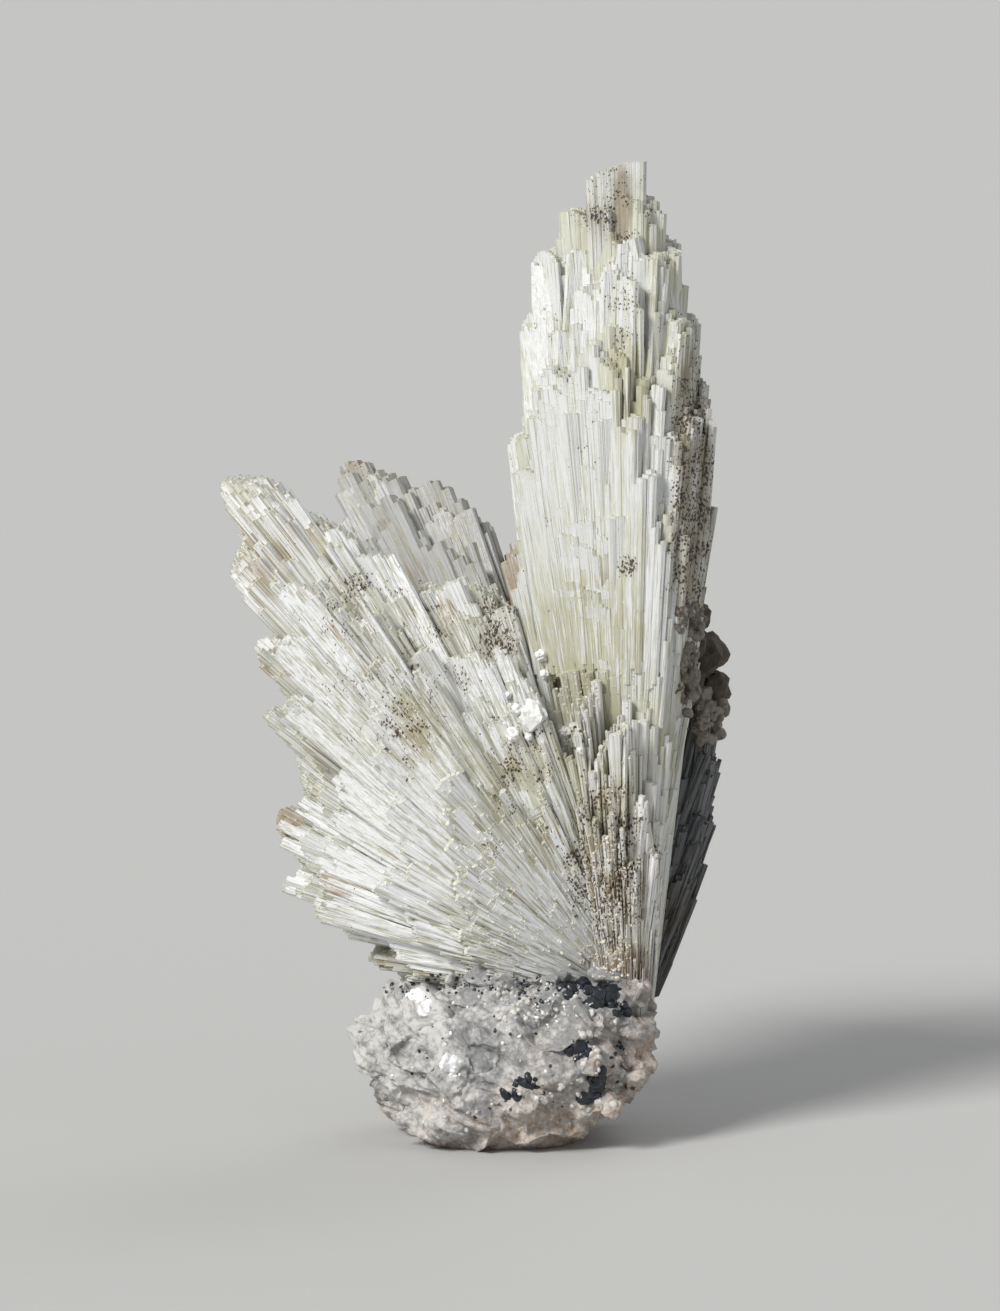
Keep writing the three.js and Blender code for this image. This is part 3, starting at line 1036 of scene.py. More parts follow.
@dataclass
class Patchwork:
    """A grid cut into random patches, such as a bundle's rows and columns into blocks.

    Attributes:
        patch: The patch that each place belongs to.
        place: Each place's offset through and across from its patch's middle, from -1 to 1.
        half: Half of each place's patch, through and across, in places.
        boxes: Each patch's rows and columns.
    """

    patch: np.ndarray
    place: np.ndarray
    half: np.ndarray
    boxes: list[tuple[slice, slice]]

    @classmethod
    def cut(cls, shape: tuple[int, int], greatest: tuple[int, int], chance: np.random.Generator) -> Patchwork:
        """Cuts a grid into bands of rows, and each band into patches.

        Args:
            shape: The grid's rows and columns.
            greatest: The greatest number of rows and of columns in a patch.
            chance: Where its chances come from.

        Returns:
            The patchwork.
        """
        patch = np.zeros(shape, dtype=int)
        place, half = np.zeros((*shape, 2)), np.ones((*shape, 2))
        boxes: list[tuple[slice, slice]] = []
        row = 0
        while row < shape[0]:
            below = min(shape[0], row + int(chance.integers((greatest[0] + 1) // 2, greatest[0] + 1)))
            column = 0
            while column < shape[1]:
                least = 1 if column == 0 else max(1, greatest[1] // 3)
                after = min(shape[1], column + int(chance.integers(least, greatest[1] + 1)))
                rows, columns = np.arange(row, below), np.arange(column, after)
                size = np.array([len(rows), len(columns)]) / 2
                patch[row:below, column:after] = len(boxes)
                half[row:below, column:after] = size
                place[row:below, column:after, 0] = ((rows - rows.mean()) / size[0])[:, None]
                place[row:below, column:after, 1] = (columns - columns.mean()) / size[1]
                boxes.append((slice(row, below), slice(column, after)))
                column = after
            row = below
        return cls(patch, place, half, boxes)

    def level(self, values: np.ndarray) -> np.ndarray:
        """Returns values above 0 evened out through each patch, row by row, so that its face is smooth."""
        evened = values.copy()
        for box in self.boxes:
            filled = values[box] > 0.0
            mean = values[box].sum(axis=0) / np.maximum(filled.sum(axis=0), 1)
            evened[box] = np.where(filled, (mean + values[box].max(axis=0)) / 2, values[box])
        return evened

    def draw(self, chance: np.random.Generator, low: float = 0.0, high: float = 1.0) -> np.ndarray:
        """Returns an even random number for each patch, at every place."""
        return chance.uniform(low, high, len(self.boxes))[self.patch]

    def spread(self, chance: np.random.Generator, width: float) -> np.ndarray:
        """Returns a normal random number for each patch, at every place."""
        return chance.normal(0.0, width, len(self.boxes))[self.patch]


class Spray:
    """One spray: the crystals that fill a CAD solid's shape, fanned out from its root.

    Attributes:
        FACE_ROWS: How many rows below a face still count as near it.
        NEAR_ROWS: How many rows around a crystal hide its lower part.
        BURIED_MM: How far below the shortest of them it starts.
        LEAST_MM: The least reach that gets a crystal.
        STUB_MM: The least reach of a finished crystal.
        OUTLINE: The share of the longest reach above which a crystal is on the spray's outline.
        MARGINS: How far the crystals are tried beyond the bundle's swings and leans, in degrees.
        LONGEST_START: Where a crystal starts at most, as a share of its length.
        LEDGE_SCATTER_MM: How much the lower ends at a ledge are scattered.
    """

    FACE_ROWS = 4
    NEAR_ROWS = 2
    BURIED_MM = 3.0
    LEAST_MM = 4.0
    STUB_MM = 3.0
    OUTLINE = 0.93
    MARGINS = (1.0, 2.5)
    LONGEST_START = 0.8
    LEDGE_SCATTER_MM = 0.9

    def __init__(self, node: str, bundles: Sequence[Bundle], seed: int) -> None:
        """Reads the CAD solid.

        Args:
            node: The CAD node's name.
            bundles: The spray's bundles.
            seed: Where its chances start.
        """
        self.bundles = bundles
        self.chance = np.random.default_rng(seed)
        self.envelope = Envelope(FRAME["nodes"][node])

    def crystals(self) -> list[Crystal]:
        """Grows the crystals that fill the spray."""
        return [crystal for bundle in self.bundles for crystal in self._bundle_crystals(bundle)]

    def splinters(self, thatches: Sequence[Thatch]) -> list[Crystal]:
        """Lays the splinters on the spray's faces."""
        laid = []
        for thatch in thatches:
            for _ in range(thatch.count):
                laid.extend(thatch.plate(self.bundles[0], self.envelope, self.chance))
        return laid

    def _bundle_crystals(self, bundle: Bundle) -> list[Crystal]:
        """Grows the crystals of one bundle.

        Args:
            bundle: The bundle.

        Returns:
            The crystals, row by row.
        """
        growth, chance = bundle.growth, self.chance
        beside, beyond = self.MARGINS
        leans = np.arange(bundle.leans[0] - beyond, bundle.leans[1] + beyond, bundle.steps[1])
        swings = np.arange(bundle.swings[0] - beside, bundle.swings[1] + beside, bundle.steps[0])
        shape = (len(leans), len(swings))
        reach = np.array([[self._reach(bundle, swing, lean) for swing in swings] for lean in leans])
        held = reach > self.LEAST_MM
        self._lift(reach, growth.lift)
        blocks = Patchwork.cut(shape, growth.block, chance)
        plates = Patchwork.cut(shape, growth.plate, chance)
        cover = self._cover(held)
        longest = np.maximum(reach.max(axis=0), 1.0)
        reach += (blocks.level(reach) - reach) * growth.evenness
        reach *= np.where(reach < self.OUTLINE * longest, 1.0 - growth.shyness, 1.0)
        tops = self._tops(bundle, reach, 1.0 - cover, blocks, plates)
        hung = (leans[:, None] < growth.ledge_lean) & (tops > growth.ledge_mm)
        starts = self._starts(np.where(held & ~hung, tops, 0.0))

        tilt = np.tan(np.radians(blocks.spread(chance, growth.tilt)))
        swing = swings[None, :] + plates.spread(chance, growth.plate_stray) * bundle.steps[0]
        lean = leans[:, None] + plates.spread(chance, growth.plate_stray) * bundle.steps[1]
        lean = lean + blocks.place[..., 1] * blocks.half[..., 1] * bundle.steps[0] * tilt
        swing = swing + chance.normal(0.0, growth.stray * bundle.steps[0], shape)
        lean = lean + chance.normal(0.0, growth.stray * bundle.steps[1], shape)
        roll = np.radians(plates.spread(chance, growth.roll))
        tone = 0.5 * blocks.draw(chance) + 0.5 * plates.draw(chance)
        return [
            self._crystal(bundle, (swing[place], lean[place]), roll[place], (starts[place], tops[place]),
                          tone[place], cover[place])
            for place in map(tuple, np.argwhere(held))
        ]

    def _reach(self, bundle: Bundle, swing: float, lean: float) -> float:
        """Returns how far the solid reaches from the bundle's root in a crystal's direction, in mm."""
        reach = self.envelope.reach(bundle.foot(swing, lean), bundle.frame(swing, lean)[0])
        if not bundle.longer:
            return reach
        swings, shares = zip(*bundle.longer, strict=True)
        return reach * float(np.interp(swing, swings, shares))

    @staticmethod
    def _lift(reach: np.ndarray, lift: tuple[float, float, float]) -> None:
        """Lengthens the front rows, where the solid holds them at all."""
        front_share, middle_share, middle = lift
        if front_share <= 0.0:
            return
        filled = reach > 0.0
        longest = reach.max(axis=0)
        for column in np.flatnonzero(longest > 0.0):
            rows = np.flatnonzero(filled[:, column])
            places = (rows - rows[0]) / max(1, rows[-1] - rows[0])
            in_front = places < middle
            least = longest[column] * np.interp(places, (0.0, middle), (front_share, middle_share))[in_front]
            reach[rows[in_front], column] = np.maximum(reach[rows[in_front], column], least)

    def _cover(self, held: np.ndarray) -> np.ndarray:
        """Counts how many crystals lie between each one and the spray's nearest face.

        Args:
            held: Which places of the bundle's grid hold a crystal.

        Returns:
            The count as a share of FACE_ROWS, from 0 to 1.
        """
        depth = np.zeros(held.shape)
        inside = np.pad(held, 1)
        for _ in range(self.FACE_ROWS):
            inside[1:-1, 1:-1] = (inside[1:-1, 1:-1] & inside[:-2, 1:-1] & inside[2:, 1:-1]
                                  & inside[1:-1, :-2] & inside[1:-1, 2:])
            depth += inside[1:-1, 1:-1]
        return depth / self.FACE_ROWS

    def _tops(self, bundle: Bundle, reach: np.ndarray, openness: np.ndarray, blocks: Patchwork,
              plates: Patchwork) -> np.ndarray:
        """Works out where each crystal ends.

        Args:
            bundle: The bundle.
            reach: How far the solid reaches at each place, in mm.
            openness: How near each place is to the spray's face, from 0 to 1.
            blocks: The blocks.
            plates: The plates.

        Returns:
            The distance of each crystal's tip from the root, in mm.
        """
        growth, chance = bundle.growth, self.chance
        rows, columns = np.indices(reach.shape)
        pairs = zip(growth.follow, bundle.steps[::-1], strict=True)
        shifts = [blocks.spread(chance, follow) / step for follow, step in pairs]
        near_rows = np.clip(np.rint(rows + shifts[0]).astype(int), 0, reach.shape[0] - 1)
        near_columns = np.clip(np.rint(columns + shifts[1]).astype(int), 0, reach.shape[1] - 1)
        near = reach[near_rows, near_columns]
        tops = np.where(near > 0.0, reach + (near - reach) * blocks.draw(chance, 0.2, 0.6), reach)

        pitch = np.radians(bundle.steps[0]) * tops
        through, across = blocks.place[..., 0], blocks.place[..., 1]
        ridge, slant = blocks.draw(chance, -0.7, 0.7), blocks.draw(chance, 0.2, 1.0) * growth.chisel
        drop = np.abs(across - ridge) * blocks.half[..., 1] * pitch * slant
        drop += (np.abs(across) ** 4 + np.maximum(-through, 0.0) ** 3) * growth.rounding_mm
        drop += (1.0 - through) * blocks.half[..., 0] * pitch * growth.bevel * blocks.draw(chance)
        drop += np.abs(chance.normal(0.0, growth.unevenness_mm, reach.shape))
        short = growth.block_short * blocks.draw(chance) ** 1.5
        short = short + growth.plate_short * openness * plates.draw(chance) ** 6
        return np.maximum(tops * (1.0 - short) - drop, self.STUB_MM)

    @classmethod
    def _starts(cls, tops: np.ndarray) -> np.ndarray:
        """Works out where each crystal comes out from among its neighbours.

        Args:
            tops: Each crystal's reach, in mm, or 0 where none covers its neighbours.

        Returns:
            A distance from the root, in mm, a little below the shortest neighbour's reach.
        """
        near = cls.NEAR_ROWS
        padded = np.pad(tops, near)
        rows, columns = tops.shape
        shifts = range(2 * near + 1)
        around = [padded[row:row + rows, column:column + columns] for row in shifts for column in shifts]
        return np.min(around, axis=0) - cls.BURIED_MM

    def _crystal(self, bundle: Bundle, aim: tuple[float, float], roll: float, ends: tuple[float, float],
                 tone: float, cover: float) -> Crystal:
        """Makes one crystal.

        Args:
            bundle: The bundle that it is in.
            aim: Its swing, and its lean from the bundle's middle.
            roll: Its turn about its length, in radians.
            ends: Distances from the root, in mm, that it must start below and that it reaches.
            tone: Its plate's tone.
            cover: How deep it lies.

        Returns:
            The crystal.
        """
        growth, chance = bundle.growth, self.chance
        buried, length = ends
        along, across = bundle.frame(*aim)
        across = across * math.cos(roll) + along.cross(across) * math.sin(roll)
        foot = bundle.foot(*aim)
        across_step, through_step = (math.radians(step) * length for step in bundle.steps)
        start = max(growth.start_mm, buried)
        if aim[1] < growth.ledge_lean and length > growth.ledge_mm:
            start = growth.ledge_mm - abs(chance.normal(0.0, self.LEDGE_SCATTER_MM))
        start = min(start, length * self.LONGEST_START)
        return Crystal(
            base=foot + along * start,
            tip=foot + along * length,
            across=across,
            width=across_step * chance.uniform(*growth.width),
            thickness=through_step * chance.uniform(*growth.thickness),
            foot=Crystal.ROOT_WIDTH + (1.0 - Crystal.ROOT_WIDTH) * start / length,
            slope=chance.uniform(0.0, 0.25),
            ridge=chance.uniform(-0.5, 0.5),
            tone=tone,
            needle=chance.random(),
            cover=cover,
        )


@dataclass(frozen=True)
class Blades:
    """The blades on one spray's front.

    Attributes:
        blades: The blades.
        root: The point that they run out from, in mm.
        seed: Where their chances start.
        ROUNDING_MM: How far the corners of a blade's top are worn down.
        OVERLAP: A crystal's least and greatest width, as shares of the step between them.
    """

    CRYSTAL_MM = 0.33
    THICKNESS_MM = (0.65, 0.75)
    SUNK_MM = 0.5
    ROUNDING_MM = 0.4
    UNEVENNESS_MM = 0.05
    OVERLAP = (2.2, 2.8)

    blades: tuple[Blade, ...]
    root: Point
    seed: int

    def crystals(self, grounds: Sequence[BVHTree]) -> list[Crystal]:
        """Grows every blade as fused crystals side by side.

        Args:
            grounds: The surfaces that they stand out of, each tried where the one before isn't met.

        Returns:
            The crystals.
        """
        chance = np.random.default_rng(self.seed)
        grown = []
        for blade in self.blades:
            sight = (Vector((blade.x, 0.0, blade.z)) - EYE).normalized()
            hits = [hit for ground in grounds if (hit := ground.ray_cast(EYE * MM, sight)[0]) is not None]
            if not hits:
                LOG.warning("nothing behind the blade at %.1f, %.1f", blade.x, blade.z)
                continue
            grown.extend(self._blade(blade, hits[0] / MM - sight * blade.stand, sight, chance))
        return grown

    def _blade(self, blade: Blade, top: Vector, sight: Vector, chance: np.random.Generator) -> list[Crystal]:
        """Grows one blade.

        Args:
            blade: The blade.
            top: The middle of its top.
            sight: The direction that it is seen along.
            chance: Where its chances come from.

        Returns:
            Its crystals.
        """
        root = Vector(self.root)
        along = (top - root).normalized()
        across = sight.cross(along).normalized()
        reach = (top - root).length
        count = max(2, round(blade.width / self.CRYSTAL_MM))
        narrowing = Crystal.ROOT_WIDTH + (1.0 - Crystal.ROOT_WIDTH) * blade.start
        grown = []
        for number in range(count):
            place = 2.0 * (number + 0.5) / count - 1.0
            offset = across * (place * blade.width / 2)
            drop = abs(place) ** 4 * self.ROUNDING_MM + abs(chance.normal(0.0, self.UNEVENNESS_MM))
            drop -= place * blade.slant / 2
            grown.append(Crystal(
                base=root + offset * narrowing + along * (reach * blade.start) + sight * self.SUNK_MM,
                tip=top + offset - along * drop - sight * chance.uniform(0.0, self.UNEVENNESS_MM),
                across=across,
                width=blade.width / count * chance.uniform(*self.OVERLAP),
                thickness=chance.uniform(*self.THICKNESS_MM),
                foot=narrowing,
                slope=chance.uniform(0.0, 0.2),
                ridge=chance.uniform(-0.5, 0.5),
                tone=blade.frost,
                needle=blade.frost * chance.uniform(0.5, 1.0),
                cover=0.0,
            ))
        return grown


def make_crystals(name: str, tree: CrystalTree, crystals: Sequence[Crystal], finish: bpy.types.Material,
                  seed: int) -> bpy.types.Object:
    """Makes one piece of crystals.

    Args:
        name: The piece's name.
        tree: The tree that stands the crystals on points.
        crystals: The crystals.
        finish: Their material.
        seed: Where the tree's chances start.

    Returns:
        The piece.
    """
    listed = [crystal.traits() for crystal in crystals]
    traits = {trait: [one[trait] for one in listed] for trait in listed[0]}
    cloud = point_cloud(f"{name}_points", [crystal.base for crystal in crystals], traits)
    piece = tree.run(name, cloud, Twist=math.radians(2.0), Seed=seed, Finish=finish)
    for trait in ("along", "across", "size", "shape"):
        piece.data.attributes.remove(piece.data.attributes[trait])
    LOG.info("%s: %d crystals, %d faces", name, len(crystals), len(piece.data.polygons))
    return piece


# ----------------------------------------
# Grains
# ----------------------------------------


class GrainTree(GeometryTree):
    """Sets a rough angular grain on each point of a cloud."""

    ROUGHNESS = 0.9

    def __init__(self) -> None:
        """Builds the tree."""
        super().__init__("grains_on_points", {"Facets": int, "Seed": int, "Finish": bpy.types.Material})
        tree, given = self.tree, self.given
        inputs = {"Radius": 1.0, "Subdivisions": given["Facets"]}
        ball = tree.add("GeometryNodeMeshIcoSphere", {}, inputs, output="Mesh")
        turns = [self.chance(0.0, math.tau, salt) for salt in range(3)]
        turned = tree.add("FunctionNodeEulerToRotation", {}, {0: tree.combine(*turns)})
        size = self.named("size", "FLOAT_VECTOR")
        inputs = {"Points": given["Geometry"], "Instance": ball, "Rotation": turned, "Scale": size}
        grains = tree.add("GeometryNodeInstanceOnPoints", {}, inputs)
        grains = tree.add("GeometryNodeRealizeInstances", {}, {0: grains})
        place = tree.add("GeometryNodeInputPosition", {}, {})
        coarse = tree.vector("MULTIPLY", place, (1 / MM, 1 / MM, 1 / MM))
        inputs = {"Vector": coarse, "Scale": 1.6, "Detail": 1.0}
        swell = tree.add("ShaderNodeTexNoise", {}, inputs, output="Color")
        swell = tree.vector("SUBTRACT", swell, (0.5, 0.5, 0.5))
        swell = tree.vector("MULTIPLY", tree.vector("MULTIPLY", swell, size), (self.ROUGHNESS,) * 3)
        self.end(tree.add("GeometryNodeSetPosition", {}, {"Geometry": grains, "Offset": swell}))


@dataclass(frozen=True)
class Cluster:
    """A patch of grains on the specimen's surface, seen from the front or from behind. Lengths are in mm.

    Attributes:
        x: Its middle, to the right.
        z: The middle's height.
        radius: Its radius.
        count: How many grains.
        grain: The grains' greatest radius.
        stretch: Its height over its width.
        behind: Whether it is on the back.
        SUNK: How far a grain is sunk, as a share of its radius.
        CLEAR: How high a grain's place has to be over the floor, in its half-heights.
    """

    SUNK = 0.5
    CLEAR = 1.4

    x: float
    z: float
    radius: float
    count: int
    grain: float = 0.3
    stretch: float = 1.0
    behind: bool = False

    def grains(self, ground: BVHTree, chance: np.random.Generator) -> list[tuple[Vector, Vector]]:
        """Returns each grain's place and its size along its three axes, in mm."""
        eye = Vector((EYE.x, -EYE.y if self.behind else EYE.y, EYE.z))
        found = []
        for _ in range(self.count):
            angle, away = chance.uniform(0.0, math.tau), self.radius * math.sqrt(chance.random())
            aside, up = away * math.cos(angle), away * math.sin(angle) * self.stretch
            spot = Vector((self.x + aside, 0.0, self.z + up))
            size = self.grain * chance.uniform(0.35, 1.0)
            shape = Vector([size * chance.uniform(0.6, 1.2) for _ in range(3)])
            sight = (spot - eye).normalized()
            hit = ground.ray_cast(eye * MM, sight)[0]
            if hit is not None and hit.z > shape.z * self.CLEAR * MM:
                found.append((hit / MM + sight * size * self.SUNK, shape))
        return found


TINY_GRAIN_MM = 0.26


def make_grains(name: str, tree: GrainTree, clusters: Sequence[Cluster], ground: BVHTree,
                finish: bpy.types.Material, seed: int) -> bpy.types.Object:
    """Makes one piece of grains.

    Args:
        name: The piece's name.
        tree: The tree that sets the grains on points.
        clusters: Where the grains lie.
        ground: The surface that they lie on.
        finish: Their material.
        seed: Where the chances start.

    Returns:
        The piece.
    """
    chance = np.random.default_rng(seed)
    grains = [grain for cluster in clusters for grain in cluster.grains(ground, chance)]
    traits = {"size": [size * MM for _, size in grains]}
    cloud = point_cloud(f"{name}_points", [place for place, _ in grains], traits)
    facets = 2 if max(cluster.grain for cluster in clusters) > TINY_GRAIN_MM else 1
    piece = tree.run(name, cloud, Facets=facets, Seed=seed, Finish=finish)
    piece.data.attributes.remove(piece.data.attributes["size"])
    LOG.info("%s: %d grains, %d faces", name, len(grains), len(piece.data.polygons))
    return piece


# ----------------------------------------
# Rock
# ----------------------------------------


class Rock:
    """The matrix rock: the CAD solid with pits, ledges and crumbs, risen around the crystals' feet.

    Attributes:
        RIM_LUMPS: How many lumps are tried around the crystals' feet.
        RIM_X, RIM_Z, RIM_RADIUS: Their least and greatest place and size, in mm.
        RIM_SUNK: How far they are sunk, as a share of the radius.
        FLAT_MM: The height over which the relief fades out towards the foot.
    """

    VOXEL_MM = 0.15
    RIM_LUMPS = 90
    RIM_X = (-9.5, 9.8)
    RIM_Z = (10.4, 11.5)
    RIM_RADIUS = (0.45, 1.15)
    RIM_SUNK = 0.3
    FLAT_MM = 0.6
    RELIEF_SEED = 20

    def __init__(self, node: str, seed: int) -> None:
        """Keeps the CAD node's name and where the chances start."""
        self.node = node
        self.chance = np.random.default_rng(seed)

    def build(self, finish: bpy.types.Material, crystals: BVHTree) -> bpy.types.Object:
        """Carves the rock.

        Args:
            finish: The rock's material.
            crystals: The surface of the crystals that stand in it.

        Returns:
            The piece.
        """
        rough = bmesh.new()
        rough.from_mesh(FRAME["nodes"][self.node].data)
        for spot, radius in self._rim(crystals):
            place = Matrix.Translation(spot * MM)
            bmesh.ops.create_icosphere(rough, subdivisions=2, radius=radius * MM, matrix=place)
        mesh = bpy.data.meshes.new("matrix_rock")
        rough.to_mesh(mesh)
        rough.free()
        rock = add_object("matrix_rock", mesh)
        remesh = rock.modifiers.new("remesh", "REMESH")
        remesh.mode = "VOXEL"
        remesh.voxel_size = self.VOXEL_MM * MM
        evaluated = rock.evaluated_get(bpy.context.evaluated_depsgraph_get())
        fine = bpy.data.meshes.new_from_object(evaluated)
        fine.name = "matrix_rock"
        rock.modifiers.clear()
        rock.data = fine
        noise.seed_set(self.RELIEF_SEED)
        self._carve(fine)
        fine.materials.append(finish)
        fine.shade_smooth()
        LOG.info("matrix_rock: %d faces", len(fine.polygons))
        return rock

    def _rim(self, crystals: BVHTree) -> list[tuple[Vector, float]]:
        """Returns the middles and radii of the lumps around the crystals' feet, front and back, in mm."""
        lumps = []
        for number in range(self.RIM_LUMPS):
            spot = Vector((self.chance.uniform(*self.RIM_X), 0.0, self.chance.uniform(*self.RIM_Z)))
            radius = self.chance.uniform(*self.RIM_RADIUS)
            eye = Vector((spot.x, EYE.y if number % 3 else -EYE.y, EYE.z))
            sight = (spot - eye).normalized()
            hit = crystals.ray_cast(eye * MM, sight)[0]
            if hit is not None:
                lumps.append((hit / MM + sight * radius * self.RIM_SUNK, radius))
        return lumps

    @classmethod
    def _carve(cls, mesh: bpy.types.Mesh) -> None:
        """Moves each point in or out along its normal by the rock's relief, and keeps the foot flat."""
        low = min(vertex.co.z for vertex in mesh.vertices)
        offsets = []
        for vertex in mesh.vertices:
            place = vertex.co / MM
            grip = min(1.0, (vertex.co.z - low) / (cls.FLAT_MM * MM))
            wander = noise.noise_vector(place * 0.45) * 0.85 + noise.noise_vector(place * 1.3) * 0.15
            offsets.append((vertex.normal * cls._relief(place) + wander) * MM * grip)
        for vertex, offset in zip(mesh.vertices, offsets, strict=True):
            vertex.co += offset

    @staticmethod
    def _relief(place: Vector) -> float:
        """Returns how far the surface stands out at a place, in mm."""
        lumps = noise.fractal(place * 0.4, 0.8, 2.1, 4) * 0.3
        down, up = place.x * 0.82 - place.z * 0.57, place.x * 0.57 + place.z * 0.82
        slanted = Vector((down * 0.35, place.y * 0.5, up * 1.5))
        ledges = noise.fractal(slanted * 0.8, 0.8, 2.0, 4) * 0.5
        coarse, small = noise.voronoi(place * 0.8)[0], noise.voronoi(place * 2.1)[0]
        crumbs = (coarse[1] - coarse[0]) * 0.07 + (small[1] - small[0]) * 0.09
        return lumps + ledges + min(crumbs, 0.35) - 0.25


# ----------------------------------------
# Studio
# ----------------------------------------


@dataclass(frozen=True)
class Lamp:
    """A soft distant light. Angles are seen from the specimen, azimuth 0 in front and 90 at the right."""

    name: str
    azimuth: float
    elevation: float
    softness: float
    power: float
    color: Color = (1.0, 1.0, 1.0)

    def hang(self) -> None:
        """Puts the light in the scene, facing the specimen."""
        data = bpy.data.lights.new(self.name, "SUN")
        data.angle = math.radians(self.softness)
        data.energy = self.power
        data.color = self.color
        lamp = bpy.data.objects.new(self.name, data)
        bpy.context.scene.collection.objects.link(lamp)
        azimuth, elevation = math.radians(self.azimuth), math.radians(self.elevation)
        level = Vector((math.sin(azimuth), -math.cos(azimuth), 0.0))
        toward = level * math.cos(elevation) + UP * math.sin(elevation)
        lamp.location = toward
        lamp.rotation_euler = toward.to_track_quat("Z", "Y").to_euler()


@dataclass(frozen=True)
class Studio:
    """The camera, the soft lights and the pale floor. Lengths are in mm."""

    target: Point = (0.0, 0.0, 34.1)
    camera_distance: float = 450.0
    camera_elevation: float = 6.0
    frame_height: float = 91.8
    sensor: float = 36.0
    floor_radius: float = 30000.0
    floor_sides: int = 64
    floor_color: Color = (0.50, 0.50, 0.49)
    sky_color: Color = (0.97, 0.98, 1.0)
    sky_strength: float = 0.38
    lamps: tuple[Lamp, ...] = (
        Lamp("key", -42.0, 36.0, 20.0, 3.3, (1.0, 0.985, 0.96)),
        Lamp("fill", 60.0, 20.0, 60.0, 0.12, (0.93, 0.96, 1.0)),
        Lamp("rim", 150.0, 45.0, 30.0, 0.45, (0.97, 0.98, 1.0)),
    )

    def place_camera(self) -> None:
        """Adds the camera at the front, a little above the specimen's middle."""
        data = bpy.data.cameras.new("camera")
        data.sensor_width = self.sensor
        data.lens = self.sensor * self.camera_distance / self.frame_height
        data.clip_start = 10.0 * MM
        data.clip_end = 100.0
        camera = bpy.data.objects.new("camera", data)
        bpy.context.scene.collection.objects.link(camera)
        elevation = math.radians(self.camera_elevation)
        offset = Vector((0.0, -math.cos(elevation), math.sin(elevation))) * self.camera_distance
        camera.location = (Vector(self.target) + offset) * MM
        camera.rotation_euler = offset.to_track_quat("Z", "Y").to_euler()
        bpy.context.scene.camera = camera

    def light(self) -> None:
        """Adds the lamps and the soft light all round."""
        for lamp in self.lamps:
            lamp.hang()
        world = bpy.data.worlds.new("studio")
        world.use_nodes = True
        background = world.node_tree.nodes["Background"]
        background.inputs["Color"].default_value = (*self.sky_color, 1.0)
        background.inputs["Strength"].default_value = self.sky_strength
        bpy.context.scene.world = world

    def lay_floor(self) -> bpy.types.Object:
        """Adds the floor, a disc so wide that its rim isn't seen."""
        angles = [math.tau * side / self.floor_sides for side in range(self.floor_sides)]
        rim = [Vector((math.cos(angle), math.sin(angle), 0.0)) * self.floor_radius * MM for angle in angles]
        mesh = bpy.data.meshes.new("floor")
        mesh.from_pydata(rim, [], [range(self.floor_sides)])
        finish = Finish("floor_paper")
        finish.set(Base_Color=self.floor_color, Roughness=0.9)
        mesh.materials.append(finish.material)
        return add_object("floor", mesh)


# ----------------------------------------
# The specimen
# ----------------------------------------

FRAME: dict[str, Any] = {}

BLADED = Growth(
    width=(2.8, 3.4), thickness=(1.6, 1.9), block=(4, 20), plate=(2, 6), block_short=0.012, plate_short=0.14,
    chisel=0.2, rounding_mm=0.4, unevenness_mm=0.06, stray=0.05, plate_stray=0.12, roll=3.0, tilt=2.0,
    follow=(0.3, 0.1), lift=(0.84, 0.97, 0.45), ledge_mm=29.4, ledge_lean=-4.4,
)
NEEDLED = Growth(
    width=(1.2, 1.7), thickness=(1.3, 1.8), block=(2, 3), plate=(1, 1), block_short=0.15, plate_short=0.4,
    bevel=0.3, unevenness_mm=0.3, stray=0.2, roll=20.0,
)

FAN = (
    Bundle((8.6, 0.6, 10.2), 1.3, 0.0, (5.0, 72.6), (-2.0, 3.0), (-20.0, 14.0), (0.45, 0.8),
           longer=((43.0, 1.0), (47.0, 1.02), (49.0, 1.045), (53.5, 1.055), (56.0, 1.01), (58.0, 1.0))),
    Bundle((8.6, 0.6, 10.2), 1.3, 0.0, (10.0, 49.2), (-2.0, 1.0), (14.0, 20.0), (0.6, 0.9)),
)
TALL = (Bundle((8.9, 0.8, 4.6), 1.3, 25.0, (81.6, 96.0), (0.0, 0.0), (-5.6, 6.6), (0.34, 0.42), BLADED),)
FRONT = (
    Bundle((9.0, -0.6, 5.0), 1.5, 12.0, (78.0, 98.4), (-10.5, -10.5), (-4.5, 0.5), (0.38, 0.5), NEEDLED),
)
BACK = (Bundle((8.6, 3.0, 9.6), 1.4, 0.0, (54.5, 71.4), (20.0, 18.0), (-5.0, 6.0), (0.7, 0.8),
               longer=((58.0, 1.0), (61.0, 1.04), (66.0, 1.055), (69.0, 1.02), (71.0, 0.97))),)
BACK_MIDDLE = (Bundle((9.2, 3.0, 7.6), 1.4, 0.0, (70.0, 93.0), (12.0, 16.0), (-1.0, 9.5), (0.7, 0.8)),)
RIGHT = (Bundle((9.4, 3.0, 8.0), 1.0, 20.0, (95.6, 108.0), (9.0, 7.0), (-8.0, 8.0), (0.55, 0.75), NEEDLED),)

